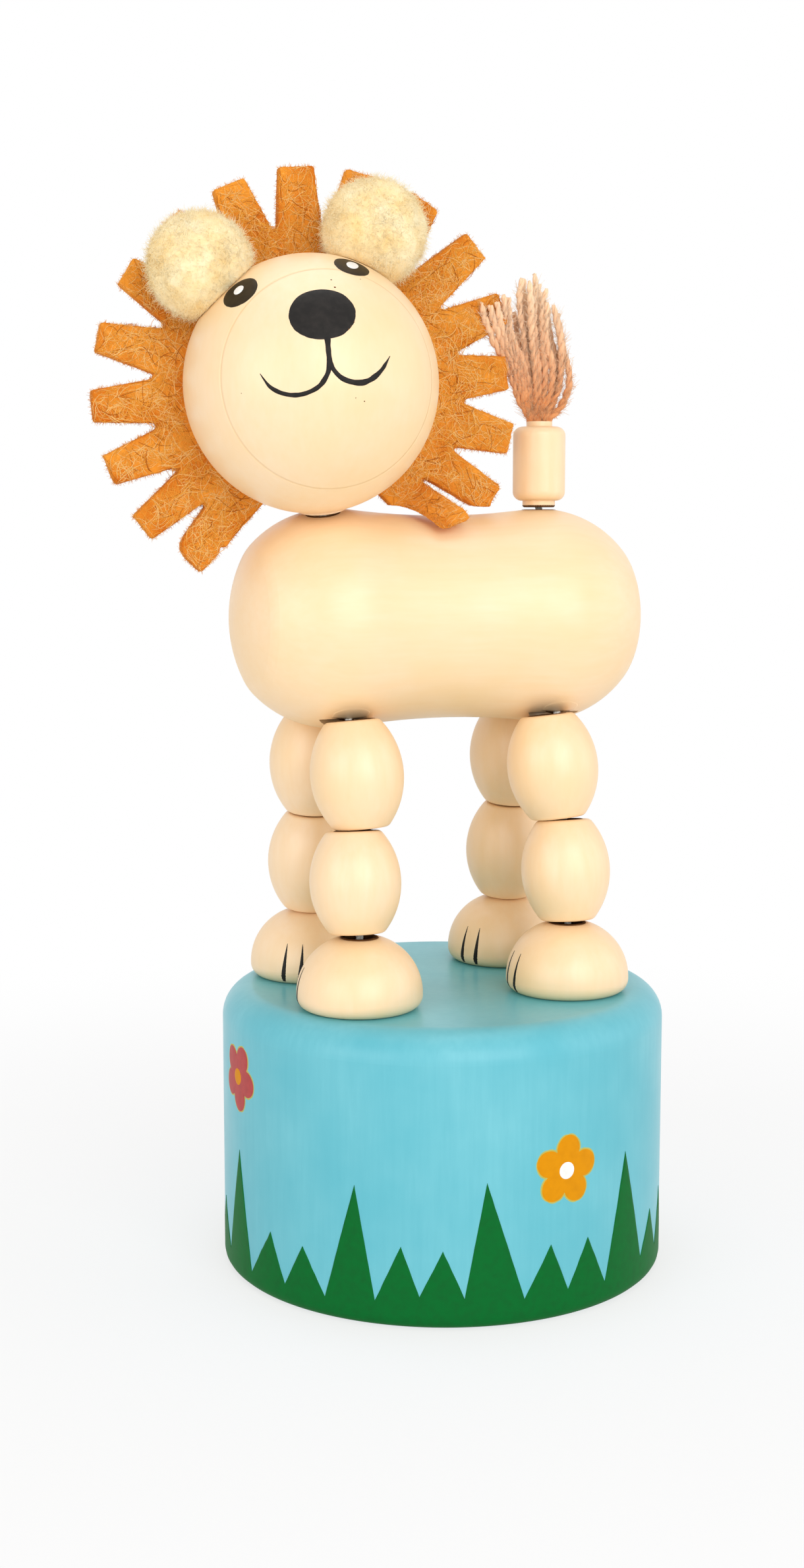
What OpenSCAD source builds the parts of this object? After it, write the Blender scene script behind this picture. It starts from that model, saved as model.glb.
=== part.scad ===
// Push puppet: a wooden lion of strung beads on a round base with a spring button underneath.
// The origin is the centre of the base's underside. +Z is up, the lion walks towards -X,
// and its left side faces -Y.

/* [Base] */
// Diameter of the round base
base_d = 45; // [43:0.5:56]
// Height of the base
base_h = 28.4; // [26:0.2:36]
// Round on the base's top edge
base_top_round = 3; // [1:0.1:3.5]
// Round on the base's bottom edge
base_bottom_round = 1.1; // [0.4:0.1:2]
// Wall between the button well and the outside
base_wall = 5.5; // [4:0.1:5.8]
// Thickness of wood above the button well
base_top_t = 6.2; // [5:0.1:8]

/* [Button and spring] */
// Thickness of the push button
button_t = 5; // [4.4:0.1:6]
// Clearance round the button in its well
button_fit = 0.3; // [0.15:0.05:0.6]
// Depth of the button's face inside the base's underside
button_recess = 4.6; // [3:0.1:6]
// Round on the button's edges
button_round = 1; // [0.3:0.1:2]
// Wire of the return spring
spring_wire = 0.9; // [0.6:0.05:1.2]
// Mean diameter of the return spring
spring_d = 19; // [14:0.5:21]
// Turns of the return spring
spring_turns = 3.5; // [2.5:0.5:4.5]
// Height of the step on the button that centres the spring
spigot_h = 1.4; // [0.8:0.1:2]

/* [Strings] */
// Thickness of the nylon strings
string_d = 0.8; // [0.5:0.05:1.2]
// Diameter of the knots
knot_d = 2.4; // [1.8:0.1:3]
// Clearance round the knots and strings where they are held
string_fit = 0.3; // [0.2:0.05:0.5]
// Depth of the blind bores in the body that hold the knotted string ends
socket_l = 6; // [4:0.1:6.5]

/* [Stance] */
// Distance between the front and rear feet
stance_l = 22.1; // [20:0.1:25]
// Distance between the left and right feet
stance_w = 16; // [14:0.1:18]
// Distance between the left and right hips
hip_w = 11.2; // [10.6:0.1:13]
// Place of the stance along the base, from the base's centre
stance_x = -0.65; // [-2:0.05:2]

/* [Legs] */
// Diameter of the feet
foot_d = 12.3; // [10:0.1:12.5]
// Height of the feet
foot_h = 6.9; // [6.8:0.1:9]
// Round on the bottom edge of the feet
foot_round = 1.3; // [0.5:0.1:2]
// Diameter of the lower leg beads
shin_d = 9.2; // [7:0.1:10]
// Length of the lower leg beads
shin_l = 9.95; // [8.6:0.05:14]
// Diameter of the upper leg beads
thigh_d = 9.4; // [7:0.1:10]
// Length of the upper leg beads
thigh_l = 10.35; // [8.8:0.05:14]
// Diameter of the flat on each bead's end
bead_end_d = 4; // [3.6:0.1:5]
// Round between a bead's side and its end
bead_edge_round = 0.5; // [0.2:0.05:0.8]
// Bore through the beads and feet
bore_d = 2.8; // [2.2:0.1:3]
// Gap between one bead and the next on the string
joint_gap = 0.3; // [0.2:0.05:0.6]
// How far the rear left thigh has slipped forward on its string
thigh_slip = 0.6; // [0:0.05:0.7]
// How far the rear left thigh tips forward
thigh_tilt = 3.5; // [0:0.1:4]

/* [Body] */
// Diameter of the body's two humps
body_d = 21.6; // [20:0.1:25]
// Diameter of the body's waist
body_waist_d = 20.2; // [17:0.1:21]
// Length of the body over its two ends
body_l = 42.2; // [41.4:0.1:43]
// Radius of the body's blunt ends
body_end_r = 14; // [13.4:0.1:16]
// Round between the humps and the blunt ends
body_end_round = 4; // [2:0.1:4.2]
// Diameter of the flat seats cut for the thighs
hip_seat_d = 6.2; // [5.6:0.1:7]
// Space between the middle of a seat and the round underside
hip_stand = 0.15; // [0:0.05:0.4]

/* [Head] */
// Diameter of the head ball
head_d = 24.1; // [22:0.1:27]
// Distance from the ball's centre to the flat on its back
head_back = 4.6; // [3:0.1:7]
// Gap between the head and the body
neck_gap = 0.25; // [0.2:0.05:0.5]
// Diameter of the small collar under the head
neck_collar_d = 4.6; // [4:0.1:6]
// Lean of the neck towards the front
neck_forward = 9; // [0:0.5:14]
// Lean of the neck to the lion's left
neck_side = 12.5; // [0:0.5:14]
// Turn of the face past the lion's left side
head_yaw = -5; // [-20:1:20]
// Roll of the face about its own axis
head_roll = 10.5; // [0:0.5:15]
// Depth of the neck bore in the head
neck_bore_l = 12; // [8:0.5:16]

/* [Ears] */
// Diameter of the fluffy ears
ear_d = 10.2; // [8:0.1:12]
// Distance of the ears from the axis of the face
ear_reach = 15.4; // [14:0.1:17]
// Angle of the ears from the top of the head
ear_angle = 33.5; // [25:0.5:45]
// Distance of the ears behind the middle of the head
ear_back = 0.9; // [-1:0.1:2]
// Clearance of the ears from the head and the mane
ear_fit = 0.1; // [0.05:0.05:0.3]

/* [Mane] */
// Diameter over the strips of the mane
mane_d = 42; // [36:0.5:46]
// Diameter at the foot of the slots between the strips
mane_root_d = 30; // [26:0.5:34]
// Thickness of the felt
mane_t = 1.5; // [1:0.1:2.2]
// Number of strips
mane_strips = 17; // [11:1:17]
// Angle from one strip to the next
mane_pitch = 17.8; // [16:0.1:18.5]
// Width of a strip at its tip
strip_tip_w = 3.1; // [2:0.1:4]
// Turn of the mane on the back of the head
mane_turn = -6; // [-10:0.5:0]
// How far the mane is glued off the head's middle, towards the lion's left
mane_aside = 1.2; // [0:0.1:2]
// How far the mane is glued below the head's middle
mane_low = 0.4; // [0:0.1:1]
// Free length of the strip that is bent forward over the back
bent_strip_l = 8; // [6:0.1:9]
// Angle of that bend
bent_strip_fold = 52; // [40:1:60]
// How far the bent strip has swung up from its place in the row
bent_strip_swing = 3.5; // [0:0.5:8]
// Clearance between the felt and the body
mane_fit = 0.6; // [0.4:0.05:1.5]

/* [Tail] */
// Diameter of the tail bead
tail_d = 5.3; // [4.6:0.1:7]
// Length of the tail bead
tail_l = 7.4; // [5:0.1:10]
// Round on the tail bead's edges
tail_round = 0.9; // [0.4:0.1:1.2]
// Diameter of the small neck under the tail bead
tail_neck_d = 3.3; // [2.8:0.1:4]
// Diameter of the small collar on the tail bead
tail_collar_d = 2.6; // [2.4:0.1:3]
// Height of the neck and of the collar
tail_collar_h = 0.5; // [0.3:0.05:0.8]
// Bore through the tail bead
tail_bore_d = 1.8; // [1.5:0.1:2]
// Length of the yarn tuft
tuft_l = 15; // [10:0.1:20]
// Spread of the yarn tuft at its widest
tuft_spread = 4.4; // [3:0.1:5]
// Thickness of one yarn strand
yarn_d = 0.9; // [0.5:0.05:1.2]
// Number of yarn strands round the outside of the tuft
tuft_strands = 9; // [5:1:10]

/* [Hidden] */
$fn = 64;
LEGS = [["front_left", -1, -1], ["front_right", -1, 1], ["rear_left", 1, -1], ["rear_right", 1, 1]];

WOOD = "moccasin";
NYLON = "whitesmoke";
over = 0.5; // how far a cutting shape runs past the face that it cuts

// Base, button and spring
well_r = base_d / 2 - base_wall;
well_h = base_h - base_top_t;
button_r = well_r - button_fit;
button_top = button_recess + button_t;
spring_l = well_h - button_top;
SPRING_RINGS_A_TURN = 8;
SPRING_SIDES = 6;
spring_inner_d = spring_d * cos(180 / SPRING_RINGS_A_TURN) - spring_wire;

// A string thickens a little where it bends
string_bend = 1.1;

// Legs: each leans in from its foot to its hip
leg_len = 3 * joint_gap + shin_l + thigh_l;
leg_lean = asin((stance_w - hip_w) / 2 / leg_len);
foot_top = base_h + foot_h;
foot_arc_r = foot_d / 2 - bead_edge_round;
shin_from = joint_gap;
thigh_from = 2 * joint_gap + shin_l;

// Body: two round humps above the feet, drawn in to a waist
body_r = body_d / 2;
waist_r = body_waist_d / 2;
socket_end = body_r - socket_l;
hump_x = stance_l / 2;
waist_arc_r = (hump_x * hump_x + waist_r * waist_r - body_r * body_r) / (2 * (body_r - waist_r));
end_back = body_end_r - (body_l - stance_l) / 2;
end_edge_z = (pow(body_end_r - body_end_round, 2) - pow(body_r - body_end_round, 2) - end_back * end_back)
    / (2 * end_back);
end_edge = [sqrt(pow(body_r - body_end_round, 2) - end_edge_z * end_edge_z), end_edge_z];
waist_join = hump_x * waist_arc_r / (body_r + waist_arc_r);
body_z = foot_top + leg_len * cos(leg_lean) + hip_stand + sqrt(body_r * body_r - hip_w * hip_w / 4);

// Head: the ball rolls on the front hump
head_r = head_d / 2;
front_hump = [stance_x - hump_x, 0, body_z];
rear_hump = [stance_x + hump_x, 0, body_z];
neck_dir = [-sin(neck_forward), -cos(neck_forward) * sin(neck_side), cos(neck_forward) * cos(neck_side)];
neck_l = body_r + neck_gap + head_r;
head_c = front_hump + neck_l * neck_dir;

// Mane: first strip beside the neck on one side, last one on the other
mane_gap = 360 - (mane_strips - 1) * mane_pitch;
mane_root_r = mane_root_d / 2;
strip_root_w = 2 * mane_root_r * sin(mane_pitch / 2);

// Tail: stands on the rear hump
tail_z = body_z + body_r + joint_gap;
tail_top = tail_z + tail_l + 2 * tail_collar_h;
tuft_plug_l = tail_l / 3;
tuft_root_h = tuft_l / 5;
tuft_root_r = tuft_spread / 2;
TUFT_SIDES = 5;
TUFT_STEPS = 6;
TUFT_FAN = [-125, 95]; // the strands fan out on the side away from the mane

function leg_x(leg) = stance_x + leg[1] * hump_x;
function ankle(leg) = [leg_x(leg), leg[2] * stance_w / 2, foot_top];
function hip(leg) = [leg_x(leg), leg[2] * hip_w / 2, foot_top + leg_len * cos(leg_lean)];
function unit(v) = v / norm(v);
function inward(leg) = unit([leg_x(leg), 0, body_z] - hip(leg));

// A tube with flat ends along a list of points, its rings turned to face along the path
function path_dir(path, i) = unit(path[min(i + 1, len(path) - 1)] - path[max(i - 1, 0)]);
function side_dir(along) = unit(cross(along, abs(along.z) > 0.9 ? [1, 0, 0] : [0, 0, 1]));
function tube_ring(path, i, r, sides) =
    let (along = path_dir(path, i), u = side_dir(along), v = cross(along, u))
    [for (k = [0 : sides - 1]) path[i] + r * (cos(360 * k / sides) * u + sin(360 * k / sides) * v)];

module tube(path, r, sides) {
    last = len(path) - 1;
    points = [for (i = [0 : last]) each tube_ring(path, i, r, sides)];
    walls = [for (i = [0 : last - 1], k = [0 : sides - 1])
        let (a = i * sides + k, b = i * sides + (k + 1) % sides)
        each [[a, b, b + sides], [a, b + sides, a + sides]]];
    ends = [for (k = [1 : sides - 2])
        each [[0, k + 1, k], [last * sides, last * sides + k, last * sides + k + 1]]];
    polyhedron(points, [for (f = concat(walls, ends)) [f[0], f[2], f[1]]]);
}

// A straight rod from one point to another
module rod(from, to, d) {
    v = to - from;
    translate(from) rotate([0, acos(v.z / norm(v)), atan2(v.y, v.x)]) cylinder(h = norm(v), d = d);
}

// A string through a list of points
module string_along(points) {
    for (i = [0 : len(points) - 2]) rod(points[i], points[i + 1], string_d);
    for (i = [1 : len(points) - 2]) translate(points[i]) sphere(d = string_bend * string_d);
}

// Half of a turned outline: a straight band, an arc in to the flat end, and the edge rounded
module turned_half(r, h, end_r, arc_r, edge) {
    arc_x = r - arc_r;
    band = h - sqrt(arc_r * arc_r - (end_r - arc_x) * (end_r - arc_x));
    edge_z = h - edge;
    edge_x = arc_x + sqrt((arc_r - edge) * (arc_r - edge) - (edge_z - band) * (edge_z - band));
    meet_z = band + (edge_z - band) * arc_r / (arc_r - edge);
    square([r, band]);
    intersection() {
        translate([arc_x, band]) circle(arc_r);
        square([r, meet_z]);
    }
    square([edge_x, h]);
    translate([edge_x, edge_z]) intersection() {
        circle(edge);
        translate([-edge, 0]) square([2 * edge, edge]);
    }
}

// A barrel bead standing on the origin, drilled through
module barrel_bead(d, l) {
    difference() {
        rotate_extrude() translate([0, l / 2]) {
            turned_half(d / 2, l / 2, bead_end_d / 2, d / 2, bead_edge_round);
            mirror([0, 1]) turned_half(d / 2, l / 2, bead_end_d / 2, d / 2, bead_edge_round);
        }
        translate([0, 0, -over]) cylinder(h = l + 2 * over, d = bore_d);
    }
}

// A disc outline with its own round on each edge
module round_edged(r, h, low_round, high_round) {
    translate([0, low_round]) square([r, h - low_round - high_round]);
    square([r - low_round, h - high_round]);
    square([r - high_round, h]);
    translate([r - low_round, low_round]) circle(low_round);
    translate([r - high_round, h - high_round]) circle(high_round);
}

// Moves a leg piece to its place on the leaning leg
module on_leg(leg, along) {
    translate(ankle(leg)) rotate([leg[2] * leg_lean, 0, 0]) translate([0, 0, along]) children();
}

module at_legs() {
    for (leg = LEGS) translate([leg_x(leg), leg[2] * stance_w / 2, 0]) children();
}

// Moves a piece of the head to its place: the face looks along -Y, the crown is +Z
module on_head() {
    translate(head_c) rotate([0, 0, head_yaw]) rotate([0, -head_roll, 0]) children();
}

module base_drum() {
    color("mediumturquoise") difference() {
        rotate_extrude() round_edged(base_d / 2, base_h, base_bottom_round, base_top_round);
        translate([0, 0, -over]) cylinder(h = well_h + over, r = well_r);
        at_legs() cylinder(h = base_h + over, d = bore_d);
    }
}

// The disc that a thumb presses; the strings are knotted in pockets in its face
module push_button() {
    color("burlywood") difference() {
        union() {
            translate([0, 0, button_recess]) rotate_extrude()
                round_edged(button_r, button_t, button_round, button_round);
            translate([0, 0, button_top - over])
                cylinder(h = spigot_h + over, d = spring_inner_d - 2 * button_fit);
        }
        at_legs() {
            cylinder(h = base_h, d = string_d + 2 * string_fit);
            cylinder(h = button_recess + knot_d, d = knot_d + 2 * string_fit);
        }
    }
}

// The spring stands on the button and bears on the ceiling of the well
module return_spring() {
    rise = spring_l - spring_wire;
    steps = spring_turns * SPRING_RINGS_A_TURN;
    path = [for (i = [0 : steps])
        [spring_d / 2 * cos(i * 360 / SPRING_RINGS_A_TURN),
         spring_d / 2 * sin(i * 360 / SPRING_RINGS_A_TURN),
         button_top + spring_wire / 2 + rise * i / steps]];
    self_gap = min([for (i = [0 : steps - SPRING_RINGS_A_TURN])
        norm(path[i + SPRING_RINGS_A_TURN] - path[i])]) - spring_wire;
    echo(spring_self_gap_mm = self_gap);
    color("silver") tube(path, spring_wire / 2, SPRING_SIDES);
}

module foot(leg) {
    color(WOOD) translate([leg_x(leg), leg[2] * stance_w / 2, base_h]) difference() {
        rotate_extrude() {
            translate([0, foot_round])
                turned_half(foot_d / 2, foot_h - foot_round, bead_end_d / 2, foot_arc_r, bead_edge_round);
            square([foot_d / 2 - foot_round, foot_h / 2]);
            translate([foot_d / 2 - foot_round, foot_round]) intersection() {
                circle(foot_round);
                translate([0, -foot_round]) square(foot_round);
            }
        }
        translate([0, 0, -over]) cylinder(h = foot_h + 2 * over, d = bore_d);
    }
}

module shin(leg) {
    color(WOOD) on_leg(leg, shin_from) barrel_bead(shin_d, shin_l);
}

// The rear left thigh has slipped a little on its string, as loose beads do
module thigh(leg) {
    slipped = leg[0] == "rear_left" ? 1 : 0;
    color(WOOD) on_leg(leg, thigh_from + thigh_l / 2)
        translate([-slipped * thigh_slip, 0, 0]) rotate([0, -slipped * thigh_tilt, 0])
            translate([0, 0, -thigh_l / 2]) barrel_bead(thigh_d, thigh_l);
}

// From the knot in the button, up the leg and into the body
module leg_string(leg) {
    knot = [leg_x(leg), leg[2] * stance_w / 2, button_recess + knot_d / 2];
    end = hip(leg) + (socket_l - knot_d / 2 - string_fit) * inward(leg);
    color(NYLON) {
        translate(knot) sphere(d = knot_d);
        string_along([knot, ankle(leg), hip(leg), end]);
        translate(end) sphere(d = knot_d);
    }
}

// Outline of one hump and its blunt end, with the edge between them rounded
module body_end() {
    translate([0, hump_x]) intersection() {
        union() {
            difference() {
                intersection() {
                    circle(body_r);
                    translate([0, -end_back]) circle(body_end_r);
                }
                polygon([end_edge, 2 * end_edge, end_edge + [end_edge.x, end_edge.y + end_back]]);
            }
            translate(end_edge) circle(body_end_round);
        }
        translate([0, -body_r]) square([body_r, body_d]);
    }
}

// Outline of the body from its axis outwards
module body_outline() {
    body_end();
    mirror([0, 1]) body_end();
    difference() {
        translate([0, -waist_join]) square([body_r, 2 * waist_join]);
        translate([waist_r + waist_arc_r, 0]) circle(waist_arc_r, $fn = 360);
    }
}

module body() {
    color(WOOD) difference() {
        translate([stance_x, 0, body_z]) rotate([0, 90, 0]) rotate_extrude() body_outline();
        for (leg = LEGS) {
            on_leg(leg, leg_len) mirror([0, 0, 1]) cylinder(h = 2 * joint_gap + over, d = hip_seat_d);
            rod(hip(leg) - over * inward(leg), hip(leg) + socket_l * inward(leg), bore_d);
        }
        rod(front_hump + socket_end * neck_dir, front_hump + (body_r + over) * neck_dir, bore_d);
        rod(rear_hump + [0, 0, socket_end], rear_hump + [0, 0, body_r + over], bore_d);
    }
}

// A turned ball with a flat back that the mane is glued to, and a collar that bears on the body
module head() {
    color(WOOD) difference() {
        union() {
            on_head() rotate([-90, 0, 0]) rotate_extrude() intersection() {
                circle(head_r);
                translate([0, -head_r]) square([head_r, head_r + head_back]);
            }
            rod(front_hump + (body_r + neck_gap) * neck_dir, head_c - head_r / 2 * neck_dir, neck_collar_d);
        }
        rod(front_hump + body_r * neck_dir, front_hump + (body_r + neck_gap + neck_bore_l) * neck_dir, bore_d);
    }
}

// One strip from inside the root of its slots to its tip, along +X
module strip() {
    from = mane_root_r - 1;
    polygon([[from, -strip_root_w / 2], [mane_root_r, -strip_root_w / 2], [mane_d / 2, -strip_tip_w / 2],
             [mane_d / 2, strip_tip_w / 2], [mane_root_r, strip_root_w / 2], [from, strip_root_w / 2]]);
}

// Felt cut into a fringe, with a gap for the neck; the last strip is bent forward over the back
module mane() {
    last = mane_strips - 1;
    gap_half = (mane_gap - mane_pitch) / 2;
    color("peru") difference() {
        on_head() translate([mane_aside, head_back, -mane_low]) rotate([-90, 0, 0]) rotate(90 - mane_turn) {
            linear_extrude(mane_t) {
                circle(sqrt(head_r * head_r - head_back * head_back));
                difference() {
                    circle(mane_root_r);
                    polygon([[0, 0], [mane_d, -mane_d * tan(gap_half)], [mane_d, mane_d * tan(gap_half)]]);
                }
                for (k = [0 : last - 1]) rotate(mane_gap / 2 + k * mane_pitch) strip();
            }
            rotate([0, 0, mane_gap / 2 + last * mane_pitch - bent_strip_swing])
                translate([mane_root_r - mane_t, 0, 0]) rotate([0, bent_strip_fold, 0])
                    translate([-mane_t / 4, -strip_tip_w / 2, 0]) cube([bent_strip_l, strip_tip_w, mane_t]);
        }
        translate(front_hump) {
            sphere(body_r + mane_fit);
            rotate([0, 90, 0]) cylinder(h = stance_l, r = body_r + mane_fit);
        }
    }
}

// A pom-pom pressed between the ball and the felt
module ear(side) {
    color("cornsilk") difference() {
        on_head() rotate([0, side * ear_angle, 0]) translate([0, ear_back, ear_reach]) sphere(d = ear_d);
        translate(head_c) sphere(head_r + ear_fit);
        on_head() translate([-mane_d, head_back - ear_fit, -mane_d]) cube(2 * mane_d);
    }
}

module left_ear() {
    ear(1);
}

module right_ear() {
    ear(-1);
}

module tail_bead() {
    color(WOOD) translate([rear_hump.x, 0, tail_z]) difference() {
        rotate_extrude() {
            translate([0, tail_collar_h]) round_edged(tail_d / 2, tail_l, tail_round, tail_round);
            square([tail_neck_d / 2, tail_l / 2]);
            square([tail_collar_d / 2, tail_l + 2 * tail_collar_h]);
        }
        translate([0, 0, -over]) cylinder(h = tail_l + 2 * tail_collar_h + 2 * over, d = tail_bore_d);
    }
}

// Yarn strands that fan out of a bound root, which is plugged into the tail bead
module tail_tuft() {
    plug_r = tail_bore_d / 2 - string_fit / 3;
    color("tan") translate([rear_hump.x, 0, tail_top]) {
        translate([0, 0, -tuft_plug_l]) cylinder(h = tuft_plug_l + tuft_root_h / 2, r = plug_r);
        translate([0, 0, string_fit / 3]) cylinder(h = tuft_root_h, r1 = plug_r, r2 = tuft_root_r);
        tube([[0, 0, tuft_root_h / 2], [0, 0, tuft_l / 2], [0, 0, tuft_l]], yarn_d / 2, TUFT_SIDES);
        for (i = [0 : tuft_strands - 1]) {
            turn = TUFT_FAN[0] + (TUFT_FAN[1] - TUFT_FAN[0]) * i / (tuft_strands - 1);
            tall = tuft_l * (i % 2 == 0 ? 0.86 : 0.96);
            path = [for (s = [0 : TUFT_STEPS])
                let (t = s / TUFT_STEPS,
                     r = tuft_root_r - yarn_d / 2 + (tuft_spread - tuft_root_r) * sin(115 * t))
                [r * cos(turn), r * sin(turn), tuft_root_h / 2 + (tall - tuft_root_h / 2) * t]];
            tube(path, yarn_d / 2, TUFT_SIDES);
        }
    }
}

// From a knot in the body to a knot in the head
module neck_string() {
    low = front_hump + (socket_end + knot_d / 2 + string_fit) * neck_dir;
    high = front_hump + (body_r + neck_gap + neck_bore_l - knot_d / 2 - string_fit) * neck_dir;
    color(NYLON) {
        for (end = [low, high]) translate(end) sphere(d = knot_d);
        rod(low, high, string_d);
    }
}

// From a knot in the body up into the tail bead
module tail_string() {
    low = rear_hump + [0, 0, socket_end + knot_d / 2 + string_fit];
    color(NYLON) {
        translate(low) sphere(d = knot_d);
        rod(low, [rear_hump.x, 0, tail_top - tuft_plug_l - string_fit], string_d);
    }
}

base_drum();
push_button();
return_spring();
body();
head();
mane();
left_ear();
right_ear();
tail_bead();
tail_tuft();
neck_string();
tail_string();
foot(LEGS[0]);  // front_left_foot
shin(LEGS[0]);  // front_left_shin
thigh(LEGS[0]);  // front_left_thigh
leg_string(LEGS[0]);  // front_left_leg_string
foot(LEGS[1]);  // front_right_foot
shin(LEGS[1]);  // front_right_shin
thigh(LEGS[1]);  // front_right_thigh
leg_string(LEGS[1]);  // front_right_leg_string
foot(LEGS[2]);  // rear_left_foot
shin(LEGS[2]);  // rear_left_shin
thigh(LEGS[2]);  // rear_left_thigh
leg_string(LEGS[2]);  // rear_left_leg_string
foot(LEGS[3]);  // rear_right_foot
shin(LEGS[3]);  // rear_right_shin
thigh(LEGS[3]);  // rear_right_thigh
leg_string(LEGS[3]);  // rear_right_leg_string
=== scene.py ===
"""Looks of the push puppet lion: painted beads and face, felt mane, pom-pom ears, yarn tuft, strings and spring."""

import math

import bpy
import numpy as np
from mathutils import Matrix, Vector, noise
from mathutils.bvhtree import BVHTree


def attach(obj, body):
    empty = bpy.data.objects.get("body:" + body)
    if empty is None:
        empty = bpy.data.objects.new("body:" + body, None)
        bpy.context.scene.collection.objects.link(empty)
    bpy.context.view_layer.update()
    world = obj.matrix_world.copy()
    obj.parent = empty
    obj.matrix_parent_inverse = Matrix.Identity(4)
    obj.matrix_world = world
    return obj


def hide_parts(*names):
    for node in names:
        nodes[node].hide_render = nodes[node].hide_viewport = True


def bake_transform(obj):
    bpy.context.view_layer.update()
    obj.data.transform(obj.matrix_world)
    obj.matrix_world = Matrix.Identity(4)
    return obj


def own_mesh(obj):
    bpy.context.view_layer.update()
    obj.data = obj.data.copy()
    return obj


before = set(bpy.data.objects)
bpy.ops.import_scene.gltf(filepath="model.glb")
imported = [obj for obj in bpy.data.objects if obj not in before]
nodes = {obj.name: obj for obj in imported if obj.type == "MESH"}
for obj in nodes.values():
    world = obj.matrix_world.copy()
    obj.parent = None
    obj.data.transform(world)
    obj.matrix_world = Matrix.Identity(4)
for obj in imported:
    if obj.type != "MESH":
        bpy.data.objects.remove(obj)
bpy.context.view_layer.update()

MM = 0.001
seeded = np.random.default_rng(11)

# Sizes and places of the part's solids, in mm
BASE_R, BASE_BOTTOM_ROUND, WELL_TOP = 22.5, 1.1, 22.2
KNOT_Z, STRING_D = 5.8, 0.8
SPRING_R, SPRING_WIRE, SPRING_FROM, SPRING_TO = 9.5, 0.9, 9.6, 22.2
FRONT_X, REAR_X, STANCE_Y, HIP_Y = -11.7, 10.4, 8.0, 5.6
FOOT_TOP, SHIN_L, THIGH_L, LEG_LEN, GAP = 35.3, 9.95, 10.35, 21.2, 0.3
MID_SHIN, MID_THIGH = GAP + SHIN_L / 2, LEG_LEN - GAP - THIGH_L / 2
LEAN = math.asin((STANCE_Y - HIP_Y) / LEG_LEN)
BODY_R, BODY_Z = 10.8, 65.7505
HEAD_R, HEAD_BACK, NECK_GAP = 12.05, 4.6, 0.25
TAIL_FOOT, TAIL_TOP = 76.85, 85.25
LEGS = {"front_left": (FRONT_X, -1), "front_right": (FRONT_X, 1),
        "rear_left": (REAR_X, -1), "rear_right": (REAR_X, 1)}

NECK = np.array((-0.156434, -0.213775, 0.964276))
FRONT_HUMP = np.array((FRONT_X, 0, BODY_Z))
REAR_HUMP = np.array((REAR_X, 0, BODY_Z))
HEAD_AT = FRONT_HUMP + (BODY_R + NECK_GAP + HEAD_R) * NECK
HEAD_TURN = np.array(Matrix.Rotation(math.radians(-5), 3, "Z") @ Matrix.Rotation(math.radians(-10.5), 3, "Y"))
# the photograph's right, and away from it
ACROSS, AWAY = np.array((0.9389, -0.3442, 0)), np.array((0.3442, 0.9389, 0))


def on_head(points):
    """Places of points given from the ball's middle: the face looks along -Y, the crown is +Z."""
    return HEAD_AT + np.asarray(points, float) @ HEAD_TURN.T


# Meshes


def piece(name, points, faces, *materials, face_materials=None):
    """A smooth-shaded mesh object from points in mm."""
    mesh = bpy.data.meshes.new(name)
    mesh.from_pydata((np.asarray(points, float) * MM).tolist(), [], faces)
    for material in materials:
        mesh.materials.append(material)
    if face_materials is not None:
        mesh.polygons.foreach_set("material_index", np.asarray(face_materials, np.int32))
    mesh.shade_smooth()
    made = bpy.data.objects.new(name, mesh)
    bpy.context.scene.collection.objects.link(made)
    return made


def grid(rows, cols, wrap=False, first=0, flip=False):
    """Faces between rows of points; wrap joins the ends of each row, and flip turns the faces over."""
    faces = []
    for i in range(rows - 1):
        for k in range(cols if wrap else cols - 1):
            a, b = first + i * cols + k, first + i * cols + (k + 1) % cols
            faces.append((a, a + cols, b + cols, b) if flip else (a, b, b + cols, a + cols))
    return faces


def surface_of(made):
    """The faces of an object, in mm, to lay things on."""
    mesh = made.data
    return BVHTree.FromPolygons([v.co / MM for v in mesh.vertices], [tuple(p.vertices) for p in mesh.polygons])


def around(count):
    """Even angles round a circle."""
    return np.arange(count) * 2 * math.pi / count


def unit(v):
    """Vectors of length one."""
    return v / np.maximum(np.linalg.norm(v, axis=-1, keepdims=True), 1e-12)


def smooth_path(points, count):
    """Even points along a curve through the given ones."""
    points = np.asarray(points, float)
    padded = np.vstack((2 * points[0] - points[1], points, 2 * points[-1] - points[-2]))
    where = np.linspace(0, len(points) - 1, 8 * count)
    i = np.minimum(where.astype(int), len(points) - 2)
    t = (where - i)[:, None]
    a, b, c, d = padded[i], padded[i + 1], padded[i + 2], padded[i + 3]
    fine = 0.5 * (2 * b + (c - a) * t + (2 * a - 5 * b + 4 * c - d) * t ** 2 + (3 * b - a - 3 * c + d) * t ** 3)
    run = np.concatenate(([0], np.cumsum(np.linalg.norm(np.diff(fine, axis=0), axis=1))))
    even = np.linspace(0, run[-1], count)
    return np.stack([np.interp(even, run, fine[:, k]) for k in range(3)], 1)


def across_path(paths):
    """Two directions square to each path, for its rings."""
    along = unit(np.gradient(paths, axis=1))
    lean = np.abs(along).mean(1)
    ref = np.eye(3)[lean.argmin(1)][:, None, :]
    u = unit(ref - (ref * along).sum(-1, keepdims=True) * along)
    return u, np.cross(along, u)


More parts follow.
